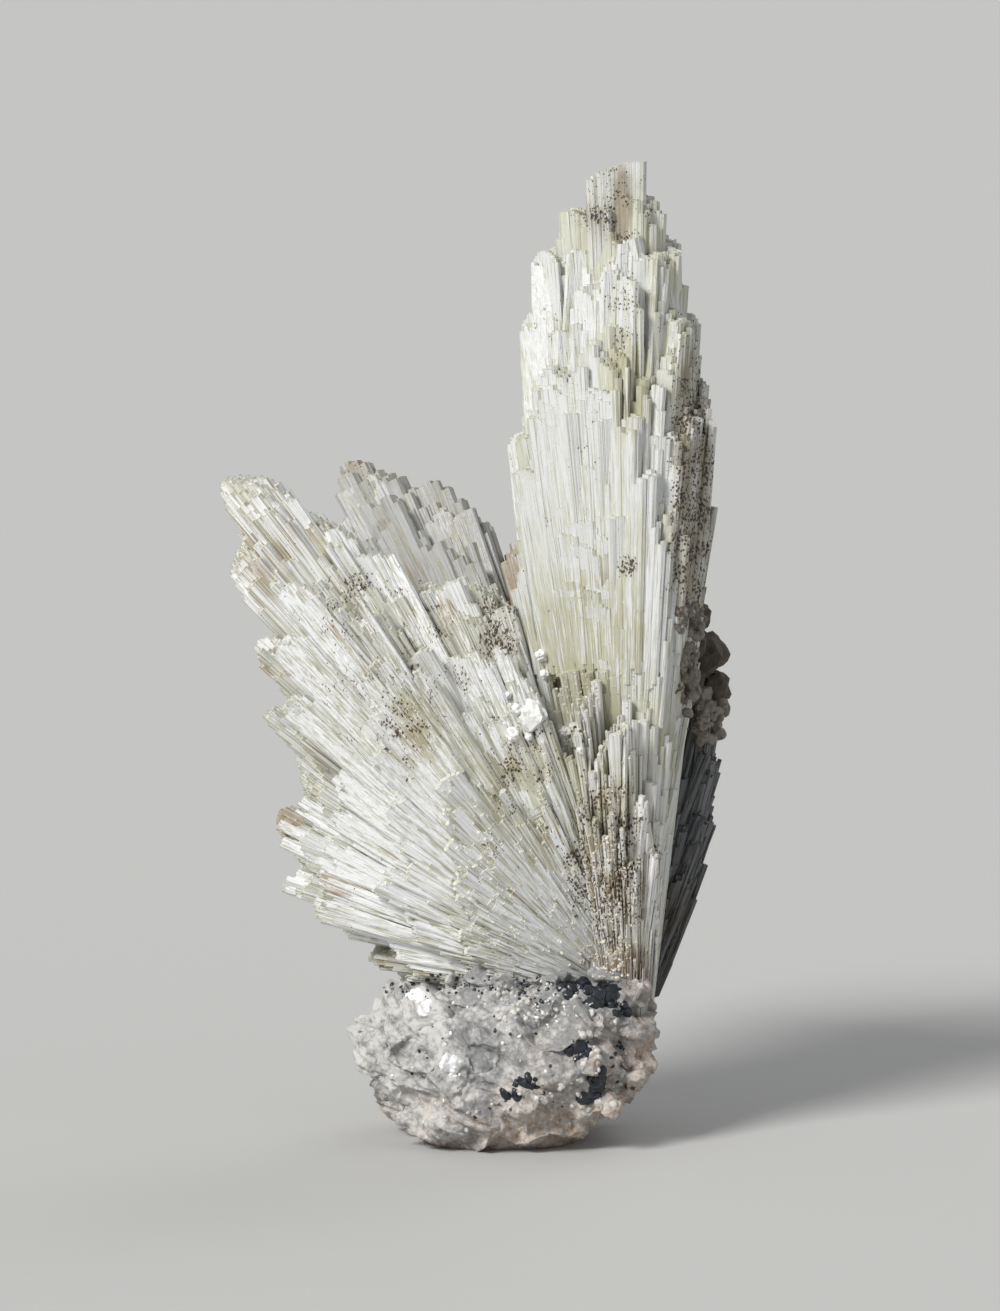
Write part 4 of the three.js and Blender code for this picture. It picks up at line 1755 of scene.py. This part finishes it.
FAN_ZONES = (
    Zone(Mark.STAIN_AND_SHADE, -5.9, 29.9, 2.0, 0.35, 1.7),
    Zone(Mark.OLIVE_AND_SHADE, -5.9, 29.9, 2.0, 1.0, 1.7),
    Zone(Mark.SPECKS, -5.9, 30.2, 2.8, 0.5, 1.5),
    Zone(Mark.SPECKS, -7.0, 34.0, 9.0, 0.5),
    Zone(Mark.SPECKS, -11.5, 38.0, 3.5, 0.5),
    Zone(Mark.SPECKS, 0.3, 36.5, 2.2, 1.0, 1.6),
    Zone(Mark.SPECKS, 1.5, 27.5, 3.0, 0.9, 1.8),
    Zone(Mark.SPECKS, -1.5, 20.5, 3.0, 0.6),
    Zone(Mark.SPECKS, 5.5, 19.5, 1.6, 1.3, 3.0),
    Zone(Mark.STAIN_AND_SHADE, -17.0, 32.3, 1.4, 1.6),
    Zone(Mark.STAIN_AND_SHADE, -15.8, 22.6, 2.6, 0.9),
    Zone(Mark.STAIN_AND_SHADE, -16.0, 42.5, 4.5, 0.35),
    Zone(Mark.STAIN_AND_SHADE, 8.5, 12.0, 3.5, 0.8),
    Zone(Mark.OLIVE_AND_SHADE, -0.5, 24.5, 6.0, 0.6, 1.3),
    Zone(Mark.FROST, -9.0, 22.0, 7.0, 0.5),
    Zone(Mark.FROST, -15.0, 41.0, 6.5, 0.6),
)
TALL_ZONES = (
    Zone(Mark.STAIN_AND_SHADE, 7.8, 66.0, 3.6, 0.5),
    Zone(Mark.SPECKS, 7.8, 65.5, 4.0, 1.0),
    # A narrow darker tan strip in the recess between the top blades.
    Zone(Mark.STAIN_AND_SHADE, 8.5, 65.5, 0.7, 1.2, 4.5),
    Zone(Mark.SPECKS, 8.6, 58.0, 2.6, 0.8, 1.3),
    Zone(Mark.SPECKS, 3.2, 57.5, 1.5, 0.7),
    Zone(Mark.SPECKS, 8.9, 40.8, 1.0, 1.8),
    Zone(Mark.SPECKS, 6.0, 47.0, 3.5, 0.3, 2.0),
    Zone(Mark.OLIVE_AND_SHADE, 9.0, 53.5, 2.2, 0.9, 2.4),
    Zone(Mark.OLIVE_AND_SHADE, 6.0, 35.5, 6.0, 0.7),
    Zone(Mark.OLIVE_AND_SHADE, 8.0, 28.0, 5.0, 1.0),
    Zone(Mark.FROST, 10.8, 47.5, 2.0, 1.4, 1.6),
    Zone(Mark.FROST, 4.5, 52.0, 3.0, 0.35, 2.0),
    # Tan down the tall spray's right side face: partly real staining, partly painted shade of the face turned
    # from the light.
    Zone(Mark.STAIN_AND_SHADE, 13.4, 44.0, 2.4, 1.1, 5.5),
    Zone(Mark.SPECKS, 13.4, 46.0, 2.4, 1.5, 5.5),
    Zone(Mark.OLIVE_AND_SHADE, 5.5, 31.0, 3.2, 0.9),
    Zone(Mark.STAIN_AND_SHADE, 14.5, 32.0, 3.0, 1.2),
)
FRONT_ZONES = (
    Zone(Mark.FROST, 8.5, 12.6, 2.0, 1.2),
    Zone(Mark.SPECKS, 7.5, 20.0, 4.5, 1.3, 1.8),
    Zone(Mark.STAIN_AND_SHADE, 8.0, 19.0, 4.0, 0.6, 1.6),
    Zone(Mark.STAIN_AND_SHADE, 8.6, 12.5, 2.5, 1.2),
    Zone(Mark.OLIVE_AND_SHADE, 6.0, 25.0, 4.0, 0.8, 1.5),
)
BACK_ZONES = (
    Zone(Mark.SPECKS, -10.0, 46.0, 2.5, 0.8),
    Zone(Mark.STAIN_AND_SHADE, -7.0, 37.0, 4.0, 0.8),
    Zone(Mark.FROST, -5.5, 43.0, 2.5, 0.6, 1.5),
)
MIDDLE_ZONES = (
    Zone(Mark.STAIN_AND_SHADE, 1.5, 38.0, 4.0, 0.9),
    Zone(Mark.OLIVE_AND_SHADE, 2.5, 34.0, 4.0, 1.0),
)
RIGHT_ZONES = (
    Zone(Mark.STAIN_AND_SHADE, 11.5, 16.0, 3.0, 0.8, 1.5),
    Zone(Mark.SPECKS, 12.5, 26.0, 3.0, 0.6, 2.0),
)

FAN_BLADES = (
    Blade(-17.45, 46.4, 1.9, -0.7, 0.2, 0.72, 0.8), Blade(-18.9, 43.5, 1.6, -0.3, 0.2, 0.72, 0.9),
    Blade(-18.0, 40.9, 1.3, 0.2, 0.2, 0.75, 0.7), Blade(-15.2, 44.9, 1.7, -0.4, 0.25, 0.7, 0.6),
    Blade(-13.3, 44.0, 1.4, -0.3, 0.2, 0.72, 0.5), Blade(-16.4, 42.6, 1.8, -0.2, 0.4, 0.7, 0.9),
    Blade(-10.2, 41.0, 1.7, -0.5, 0.3, 0.45), Blade(-3.6, 39.2, 1.4, 0.3, 0.4, 0.4, 0.8),
    Blade(-2.4, 37.6, 1.2, 0.2, 0.3, 0.3, 0.7), Blade(0.1, 37.5, 1.4, 0.1, 0.4, 0.4, 0.3),
    Blade(-5.6, 34.4, 1.3, -0.3, 0.3), Blade(-4.8, 27.2, 1.0, 0.2, 0.3, 0.3, 0.6),
    Blade(3.4, 32.5, 1.9, -0.7, 0.5, 0.75, 0.1), Blade(-7.4, 37.4, 1.2, 0.3, 0.3, 0.4, 0.7),
)
FAN_THATCH = (
    Thatch((5.0, 72.0), (8.0, 44.0), 1000, (0.3, 1.3), (5.0, 13.0), (0.0, 0.25)),
    Thatch((5.0, 40.0), (10.0, 38.0), 700, (0.2, 0.6), (6.0, 16.0), (0.0, 0.2)),
    Thatch((5.0, 72.0), (4.0, 26.0), 650, (0.15, 0.5), (3.0, 10.0), (0.0, 0.35)),
    Thatch((5.0, 72.0), (4.5, 15.0), 320, (0.1, 0.35), (2.0, 6.0), (0.05, 0.35), 1.0),
    Thatch((38.0, 68.0), (24.0, 47.0), 200, (0.9, 2.2), (6.0, 13.0), (0.0, 0.2)),
    Thatch((38.0, 68.0), (26.0, 47.0), 420, (0.2, 0.6), (3.0, 8.0), (0.15, 0.35)),
    Thatch((5.0, 72.0), (8.0, 46.0), 500, (0.4, 1.8), (5.0, 13.0), side=180.0),
)
TALL_THATCH = (
    Thatch((81.6, 96.0), (34.0, 59.0), 230, (1.0, 3.2), (9.0, 22.0), (-0.05, 0.18), 29.4, ridges=0.012),
    Thatch((84.0, 94.0), (46.0, 58.5), 90, (1.2, 3.0), (7.0, 14.0), (0.05, 0.2), 29.4, ridges=0.012),
    Thatch((81.6, 90.0), (14.0, 29.0), 150, (0.3, 0.9), (4.0, 10.0), (0.2, 0.6), 4.0),
    Thatch((89.5, 96.0), (20.0, 50.0), 120, (0.6, 1.8), (8.0, 16.0), (-0.05, 0.2), 4.0, ridges=0.02),
    Thatch((81.6, 96.0), (12.0, 64.0), 260, (0.6, 2.2), (8.0, 18.0), side=180.0),
    Thatch((88.0, 89.0), (8.0, 60.0), 300, (0.3, 1.1), (4.0, 12.0), (0.0, 0.35),
           leans=(-5.5, 6.5), side=90.0),
    Thatch((88.0, 89.0), (12.0, 56.0), 160, (0.4, 1.4), (5.0, 14.0), leans=(-5.5, 6.5), side=270.0),
)
FRONT_THATCH = (
    Thatch((78.0, 98.4), (6.0, 28.0), 650, (0.15, 0.45), (2.0, 8.0), (0.0, 0.35)),
    Thatch((78.0, 98.4), (2.0, 10.0), 160, (0.2, 0.6), (1.5, 5.0), (0.0, 0.4), 0.8),
)
BACK_THATCH = (
    Thatch((54.5, 71.4), (12.0, 42.0), 160, (0.6, 1.9), (5.0, 12.0)),
    Thatch((54.5, 71.4), (8.0, 42.0), 200, (0.6, 1.9), (5.0, 12.0), side=180.0),
)
MIDDLE_THATCH = (
    Thatch((70.0, 93.0), (10.0, 40.0), 120, (0.4, 1.2), (5.0, 12.0)),
    Thatch((70.0, 93.0), (8.0, 40.0), 200, (0.6, 1.6), (5.0, 12.0), side=180.0),
)
RIGHT_THATCH = (
    Thatch((95.6, 108.0), (6.0, 24.0), 300, (0.15, 0.6), (3.0, 9.0), (0.0, 0.3)),
    Thatch((100.0, 104.0), (6.0, 24.0), 160, (0.3, 1.0), (3.0, 9.0), leans=(-7.0, 7.0), side=90.0),
    Thatch((95.6, 108.0), (6.0, 24.0), 120, (0.3, 1.0), (3.0, 9.0), side=180.0),
)
TALL_BLADES = (
    Blade(8.05, 68.3, 3.7, 1.3, 0.1, 0.87, 0.4), Blade(9.8, 68.2, 0.5, 0.2, 0.35, 0.85, 1.0),
    Blade(6.0, 66.7, 0.9, 0.9, 0.2, 0.9, 0.5), Blade(6.9, 65.4, 1.2, 0.3, 0.3, 0.93, 0.6),
    Blade(4.0, 63.5, 1.6, 1.0, 0.2, 0.85, 0.6), Blade(10.9, 65.3, 0.9, -0.4, 0.1, 0.85, 0.2),
    Blade(10.45, 61.8, 1.8, -0.6, 0.4, 0.6, 0.8), Blade(12.0, 62.3, 0.9, -0.3, 0.0, 0.8, 0.2),
    Blade(13.3, 59.0, 1.5, -0.4, 0.1, 0.85, 0.15), Blade(10.9, 49.6, 1.9, 0.1, 0.45, 0.6, 1.0),
    Blade(9.5, 46.8, 1.3, 0.6, 0.35, 0.6, 1.0), Blade(6.1, 52.4, 1.0, 0.3, 0.25, 0.72, 0.7),
    Blade(5.1, 51.2, 1.1, -0.2, 0.25, 0.72), Blade(7.3, 50.8, 0.9, 0.3, 0.2, 0.72),
    Blade(3.4, 57.0, 1.8, 0.5, 0.2, 0.6), Blade(2.8, 49.4, 1.9, -0.5, 0.3, 0.72, 0.7),
    Blade(6.6, 60.2, 2.2, 0.3, 0.2, 0.6), Blade(4.6, 60.8, 1.7, 0.3, 0.3, 0.6),
    Blade(8.3, 44.0, 1.2, 0.2, 0.2, 0.7), Blade(11.6, 42.5, 1.1, -0.3, 0.3, 0.7, 0.7),
)
FRONT_BLADES = (
    Blade(6.7, 32.4, 0.4, 0.0, 0.9, 0.5, 1.0), Blade(8.9, 31.0, 0.4, 0.0, 0.6, 0.45, 0.9),
    Blade(9.9, 29.6, 0.7, 0.2, 0.3, 0.35, 0.5), Blade(6.4, 26.0, 0.35, -0.1, 0.5, 0.4, 0.9),
    Blade(7.8, 24.8, 0.8, 0.1, 0.4, 0.4, 0.4), Blade(10.6, 25.2, 0.6, -0.3, 0.3, 0.4, 0.5),
    Blade(11.0, 22.4, 0.6, -0.3, 0.3, 0.4, 0.4), Blade(5.4, 28.6, 0.4, 0.1, 0.5, 0.5, 0.6),
    Blade(8.1, 28.6, 0.5, 0.1, 0.4, 0.4, 0.5),
)


@dataclass(frozen=True)
class Knob:
    """A blocky grain or lump on the sprays. Lengths are in millimetres.

    Attributes:
        x: Its middle, to the right.
        z: The middle's height.
        radius: Its radius.
        height: Its height over its width.
        y: How far back its middle is, or None where it is set on the front.
    """

    x: float
    z: float
    radius: float
    height: float = 1.0
    y: float | None = None


@dataclass(frozen=True)
class Knobs:
    """A group of knobs, sunk a little into what they grew on.

    Attributes:
        name: The piece's name.
        knobs: The knobs.
        facets: How far their facets stand out, as a share of the radius.
        LEVELS: How finely their balls are cut.
        SUNK: How far a knob is sunk, as a share of its radius.
        SHIFT: How far apart two knobs' patterns are read.
    """

    LEVELS = 3
    SUNK = 0.45
    SHIFT = (7.3, 3.1)

    name: str
    knobs: tuple[Knob, ...]
    facets: float = 0.5

    def build(self, ground: BVHTree, finish: bpy.types.Material) -> bpy.types.Object:
        """Makes the grains as one piece.

        Args:
            ground: The surface that they stand on.
            finish: Their material.

        Returns:
            The piece.
        """
        made = bmesh.new()
        for number, knob in enumerate(self.knobs):
            middle = self._place(knob, ground)
            if middle is None:
                LOG.warning("%s: nothing behind the knob at %.1f, %.1f", self.name, knob.x, knob.z)
                continue
            before = len(made.verts)
            bmesh.ops.create_icosphere(made, subdivisions=self.LEVELS, radius=1.0)
            made.verts.ensure_lookup_table()
            shift = Vector((number * self.SHIFT[0], number * self.SHIFT[1], 0.0))
            for vertex in made.verts[before:]:
                cell = noise.voronoi(vertex.co * 1.3 + shift)[0]
                rough = 0.22 * noise.noise(vertex.co * 2.2 + shift)
                rough += 0.12 * noise.noise(vertex.co * 6.0 + shift)
                swell = 1.0 + self.facets * (0.55 - cell[0]) + rough
                point = vertex.co * swell * knob.radius
                vertex.co = (middle + Vector((point.x, point.y, point.z * knob.height))) * MM
        mesh = bpy.data.meshes.new(self.name)
        made.to_mesh(mesh)
        made.free()
        mesh.materials.append(finish)
        LOG.info("%s: %d faces", self.name, len(mesh.polygons))
        return add_object(self.name, mesh)

    @staticmethod
    def _place(knob: Knob, ground: BVHTree) -> Vector | None:
        """Returns a knob's middle."""
        if knob.y is not None:
            return Vector((knob.x, knob.y, knob.z))
        sight = (Vector((knob.x, 0.0, knob.z)) - EYE).normalized()
        hit = ground.ray_cast(EYE * MM, sight)
        return hit[0] / MM - sight * knob.radius * Knobs.SUNK if hit[0] is not None else None


CALCITE = Knobs("calcite_knobs", (
    Knob(2.3, 30.6, 0.85, 1.2, -6.0), Knob(0.9, 29.2, 0.5, 1.0, -5.8), Knob(2.87, 34.1, 0.4),
    Knob(3.1, 32.8, 0.32),
    Knob(4.55, 28.7, 0.4), Knob(1.2, 30.3, 0.4), Knob(0.6, 31.3, 0.25), Knob(5.6, 27.4, 0.25),
    Knob(2.0, 28.4, 0.3),
))
LUMPS = Knobs("brown_lumps", (
    Knob(14.4, 33.8, 1.6, 1.0, 4.2), Knob(15.1, 31.2, 1.25, 1.0, 4.8), Knob(14.2, 29.4, 1.35, 1.0, 4.0),
    Knob(13.4, 36.6, 1.25, 1.0, 2.6), Knob(13.0, 32.0, 1.3, 1.2, 3.2), Knob(13.3, 34.6, 1.1, 1.1, 2.4),
))
SPHALERITE = (
    Cluster(7.0, 9.9, 1.1, 26, 0.8, 0.6), Cluster(5.4, 10.5, 1.2, 20, 0.6, 0.5),
    Cluster(8.2, 9.2, 0.9, 14, 0.7),
    Cluster(5.5, 6.1, 0.6, 14, 0.8), Cluster(6.7, 4.2, 0.6, 12, 0.75), Cluster(6.2, 2.9, 0.6, 8, 0.6),
    Cluster(2.0, 3.8, 1.0, 16, 0.6, 0.4), Cluster(0.9, 3.2, 0.5, 7, 0.55),
    Cluster(-2.8, 10.9, 3.2, 40, 0.2, 0.25),
    Cluster(2.5, 10.4, 2.5, 34, 0.25, 0.4), Cluster(-7.0, 10.6, 1.5, 12, 0.2, 0.3),
    Cluster(0.0, 6.0, 9.0, 40, 0.18, 0.6), Cluster(8.8, 5.0, 1.0, 14, 0.25, 2.0),
    Cluster(0.0, 6.0, 9.0, 70, 0.25, 0.6, True), Cluster(-3.0, 7.5, 1.6, 30, 0.7, 0.6, True),
)
ROCK_CALCITE = (
    Cluster(-5.9, 10.0, 0.45, 9, 0.6), Cluster(-5.2, 9.1, 0.35, 6, 0.5),
    Cluster(-3.4, 5.3, 0.5, 9, 0.65),
    Cluster(-3.1, 4.5, 0.35, 6, 0.5), Cluster(3.2, 9.0, 2.5, 16, 0.2, 0.5),
    Cluster(0.0, 6.0, 9.0, 24, 0.18, 0.6),
    Cluster(2.0, 6.0, 1.2, 12, 0.5, 1.0, True), Cluster(0.0, 6.0, 9.0, 40, 0.25, 0.6, True),
)
CREAM_GRAINS = (
    Cluster(0.0, 5.5, 9.5, 50, 0.25, 0.6), Cluster(7.5, 6.2, 2.2, 22, 0.5, 1.4),
    Cluster(3.0, 2.3, 6.0, 20, 0.4, 0.25),
    Cluster(2.0, 9.5, 4.0, 60, 0.3, 0.35), Cluster(0.0, 5.5, 9.5, 150, 0.36, 0.6, True),
)
SPRAY_GRAINS = (
    Cluster(8.0, 17.0, 2.2, 260, 0.17, 2.2), Cluster(7.6, 12.6, 2.0, 120, 0.2, 0.8),
    Cluster(7.6, 24.0, 2.2, 60, 0.14, 2.0), Cluster(7.5, 31.5, 2.5, 60, 0.13, 0.8),
    Cluster(5.4, 31.8, 1.8, 110, 0.12, 0.9),
)
DARK_GRAINS = (
    Cluster(5.6, 18.5, 0.8, 70, 0.17, 4.0), Cluster(8.0, 17.0, 2.2, 80, 0.09, 2.2),
    Cluster(5.0, 27.0, 1.0, 24, 0.13, 2.5),
    Cluster(7.0, 66.4, 1.6, 50, 0.08), Cluster(8.4, 60.2, 1.3, 40, 0.09, 2.2),
    Cluster(4.6, 57.6, 1.6, 22, 0.08, 1.5),
    Cluster(-8.0, 34.5, 6.0, 90, 0.08), Cluster(-13.5, 40.5, 3.0, 22, 0.08),
    Cluster(13.2, 50.0, 1.6, 120, 0.09, 6.0),
    Cluster(-1.0, 31.0, 4.5, 70, 0.08, 1.4), Cluster(0.5, 38.5, 2.0, 16, 0.08),
    Cluster(-6.2, 29.8, 0.7, 18, 0.13, 1.8),
    Cluster(-7.6, 31.6, 0.7, 10, 0.12, 1.5), Cluster(8.9, 40.6, 0.7, 30, 0.11),
    Cluster(4.0, 22.0, 1.2, 24, 0.12, 2.0),
    Cluster(14.3, 30.5, 2.2, 50, 0.2, 1.8),
)
BROWN_CRUST = (
    Cluster(14.3, 32.5, 1.9, 130, 0.65, 1.7), Cluster(13.3, 36.6, 1.0, 40, 0.5, 1.2),
    Cluster(14.6, 29.0, 1.0, 40, 0.5),
)


def keep(piece: bpy.types.Object, slot: Slot, *nodes: str) -> None:
    """Fixes a piece to the specimen.

    Args:
        piece: The piece.
        slot: The material slot, which is not used.
        nodes: The CAD nodes that it stands for, if any.
    """
    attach(piece, "root")
    if nodes:
        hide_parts(*nodes)


@dataclass(frozen=True)
class SprayPlan:
    """What one spray is made of.

    Attributes:
        node: The CAD node that it stands for.
        bundles: Its bundles of crystals.
        thatches: The splinters on its faces.
        blades: The blades on its front.
        finish: Its material.
        seed: Where its chances start.
    """

    node: str
    bundles: tuple[Bundle, ...]
    thatches: tuple[Thatch, ...]
    blades: tuple[Blade, ...]
    finish: CrystalFinish
    seed: int


SPRAYS = (
    SprayPlan("left_fan", FAN, FAN_THATCH, FAN_BLADES, CrystalFinish(
        "strontianite_fan", FAN[0].root, FAN_ZONES,
        frost=(0.85, 0.865, 0.865), body=(0.68, 0.685, 0.625), olive_and_shade=(0.45, 0.435, 0.29), contrast=1.7,
    ), 11),
    # The tall spray's stain color is a dark grey-tan, partly painted shade of its right side face.
    SprayPlan("tall_spray", TALL, TALL_THATCH, TALL_BLADES, CrystalFinish(
        "strontianite_tall", TALL[0].root, TALL_ZONES, 380.0,
        frost=(0.69, 0.705, 0.695), stain_and_shade=(0.28, 0.24, 0.17), depth_mm=30.0,
        frosting=0.6, fused=0.35, contrast=1.0,
    ), 12),
    SprayPlan("front_spray", FRONT, FRONT_THATCH, FRONT_BLADES, CrystalFinish(
        "strontianite_front", FRONT[0].root, FRONT_ZONES,
        frost=(0.80, 0.80, 0.79), body=(0.64, 0.64, 0.56), frosting=0.4,
    ), 13),
    # The back spray's colors are darkened to grey: painted shade, not the mineral's own color.
    SprayPlan("back_spray", BACK, BACK_THATCH, (), CrystalFinish(
        "strontianite_back", BACK[0].root, BACK_ZONES,
        frost=(0.48, 0.485, 0.485), body=(0.38, 0.38, 0.35), staining=0.2,
    ), 14),
    SprayPlan("back_middle_spray", BACK_MIDDLE, MIDDLE_THATCH, (), CrystalFinish(
        "strontianite_middle", BACK_MIDDLE[0].root, MIDDLE_ZONES, staining=0.3,
    ), 15),
    # The right spray's colors are darkened nearly to black on every side: painted shade, not the mineral's
    # own color.
    SprayPlan("right_spray", RIGHT, RIGHT_THATCH, (), CrystalFinish(
        "strontianite_right", RIGHT[0].root, RIGHT_ZONES,
        frost=(0.10, 0.108, 0.115), body=(0.032, 0.034, 0.032), olive_and_shade=(0.05, 0.048, 0.036),
        stain_and_shade=(0.07, 0.055, 0.04), frosting=0.2, staining=0.2,
    ), 16),
)


def build_sprays() -> list[bpy.types.Object]:
    """Grows the six sprays."""
    tree = CrystalTree()
    pieces = []
    for plan in SPRAYS:
        node, seed, material = plan.node, plan.seed, plan.finish.build()
        spray = Spray(node, plan.bundles, seed)
        pieces.append(make_crystals(f"{node}_crystals", tree, spray.crystals(), material, seed))
        keep(pieces[-1], Slot.CRYSTAL, node)
        splinters = spray.splinters(plan.thatches)
        pieces.append(make_crystals(f"{node}_splinters", tree, splinters, material, seed))
        keep(pieces[-1], Slot.CRYSTAL)
        if plan.blades:
            grounds = (spray.envelope.surface, surface_of(pieces))
            crystals = Blades(plan.blades, plan.bundles[0].root, seed).crystals(grounds)
            pieces.append(make_crystals(f"{node}_blades", tree, crystals, material, seed))
            keep(pieces[-1], Slot.CRYSTAL)
    return pieces


def surface_of(pieces: Sequence[bpy.types.Object]) -> BVHTree:
    """Returns the pieces' surfaces as one, for finding what a small piece stands on."""
    points, faces = [], []
    for piece in pieces:
        start = len(points)
        points.extend(vertex.co for vertex in piece.data.vertices)
        faces.extend([start + corner for corner in face.vertices] for face in piece.data.polygons)
    return BVHTree.FromPolygons(points, faces)


def build_rock(crystals: BVHTree) -> bpy.types.Object:
    """Carves the matrix rock around the crystals' feet."""
    rock = Rock("matrix", 21).build(RockFinish("matrix_rock").build(), crystals)
    keep(rock, Slot.ROCK, "matrix")
    return rock


def scatter_grains(ground: BVHTree) -> None:
    """Sets the rock's loose grains."""
    tree = GrainTree()
    kinds = (
        ("sphalerite_grains", SPHALERITE,
         PlainFinish("sphalerite", (0.014, 0.020, 0.030), (0.004, 0.005, 0.007), 0.3)),
        ("rock_calcite_grains", ROCK_CALCITE,
         PlainFinish("rock_calcite", (0.90, 0.90, 0.90), (0.70, 0.71, 0.72))),
        ("cream_grains", CREAM_GRAINS,
         PlainFinish("cream_grain", (0.62, 0.60, 0.56), (0.34, 0.33, 0.31), 0.6)),
        ("spray_grains", SPRAY_GRAINS,
         PlainFinish("sugar_grain", (0.70, 0.67, 0.60), (0.36, 0.30, 0.22), 0.5)),
        ("dark_grains", DARK_GRAINS,
         PlainFinish("dark_grain", (0.085, 0.062, 0.043), (0.022, 0.016, 0.012), 0.4)),
        ("brown_crust", BROWN_CRUST,
         PlainFinish("brown_grain", (0.20, 0.18, 0.15), (0.07, 0.05, 0.035), 0.5)),
    )
    for seed, (name, clusters, finish) in enumerate(kinds, start=31):
        keep(make_grains(name, tree, clusters, ground, finish.build(), seed), Slot.ROCK)


def main() -> None:
    """Builds the studio and the specimen."""
    logging.basicConfig(level=logging.INFO, format="%(message)s")
    FRAME.update(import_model())
    studio = Studio()
    studio.place_camera()
    pieces = build_sprays()
    ground = surface_of(pieces)
    rock = build_rock(ground)
    scatter_grains(surface_of([*pieces, rock]))
    white = PlainFinish("calcite", (0.82, 0.82, 0.80), (0.62, 0.63, 0.61), 0.35)
    keep(CALCITE.build(ground, white.build()), Slot.CRYSTAL)
    brown = RockFinish(
        "brown_crust", grey=(0.09, 0.075, 0.055), pale=(0.22, 0.19, 0.155), tan=(0.16, 0.10, 0.05),
    )
    keep(LUMPS.build(ground, brown.build()), Slot.CRYSTAL)
    studio.light()
    studio.lay_floor()
    bpy.context.scene.view_settings.view_transform = "Standard"


if __name__ == "__main__":
    main()
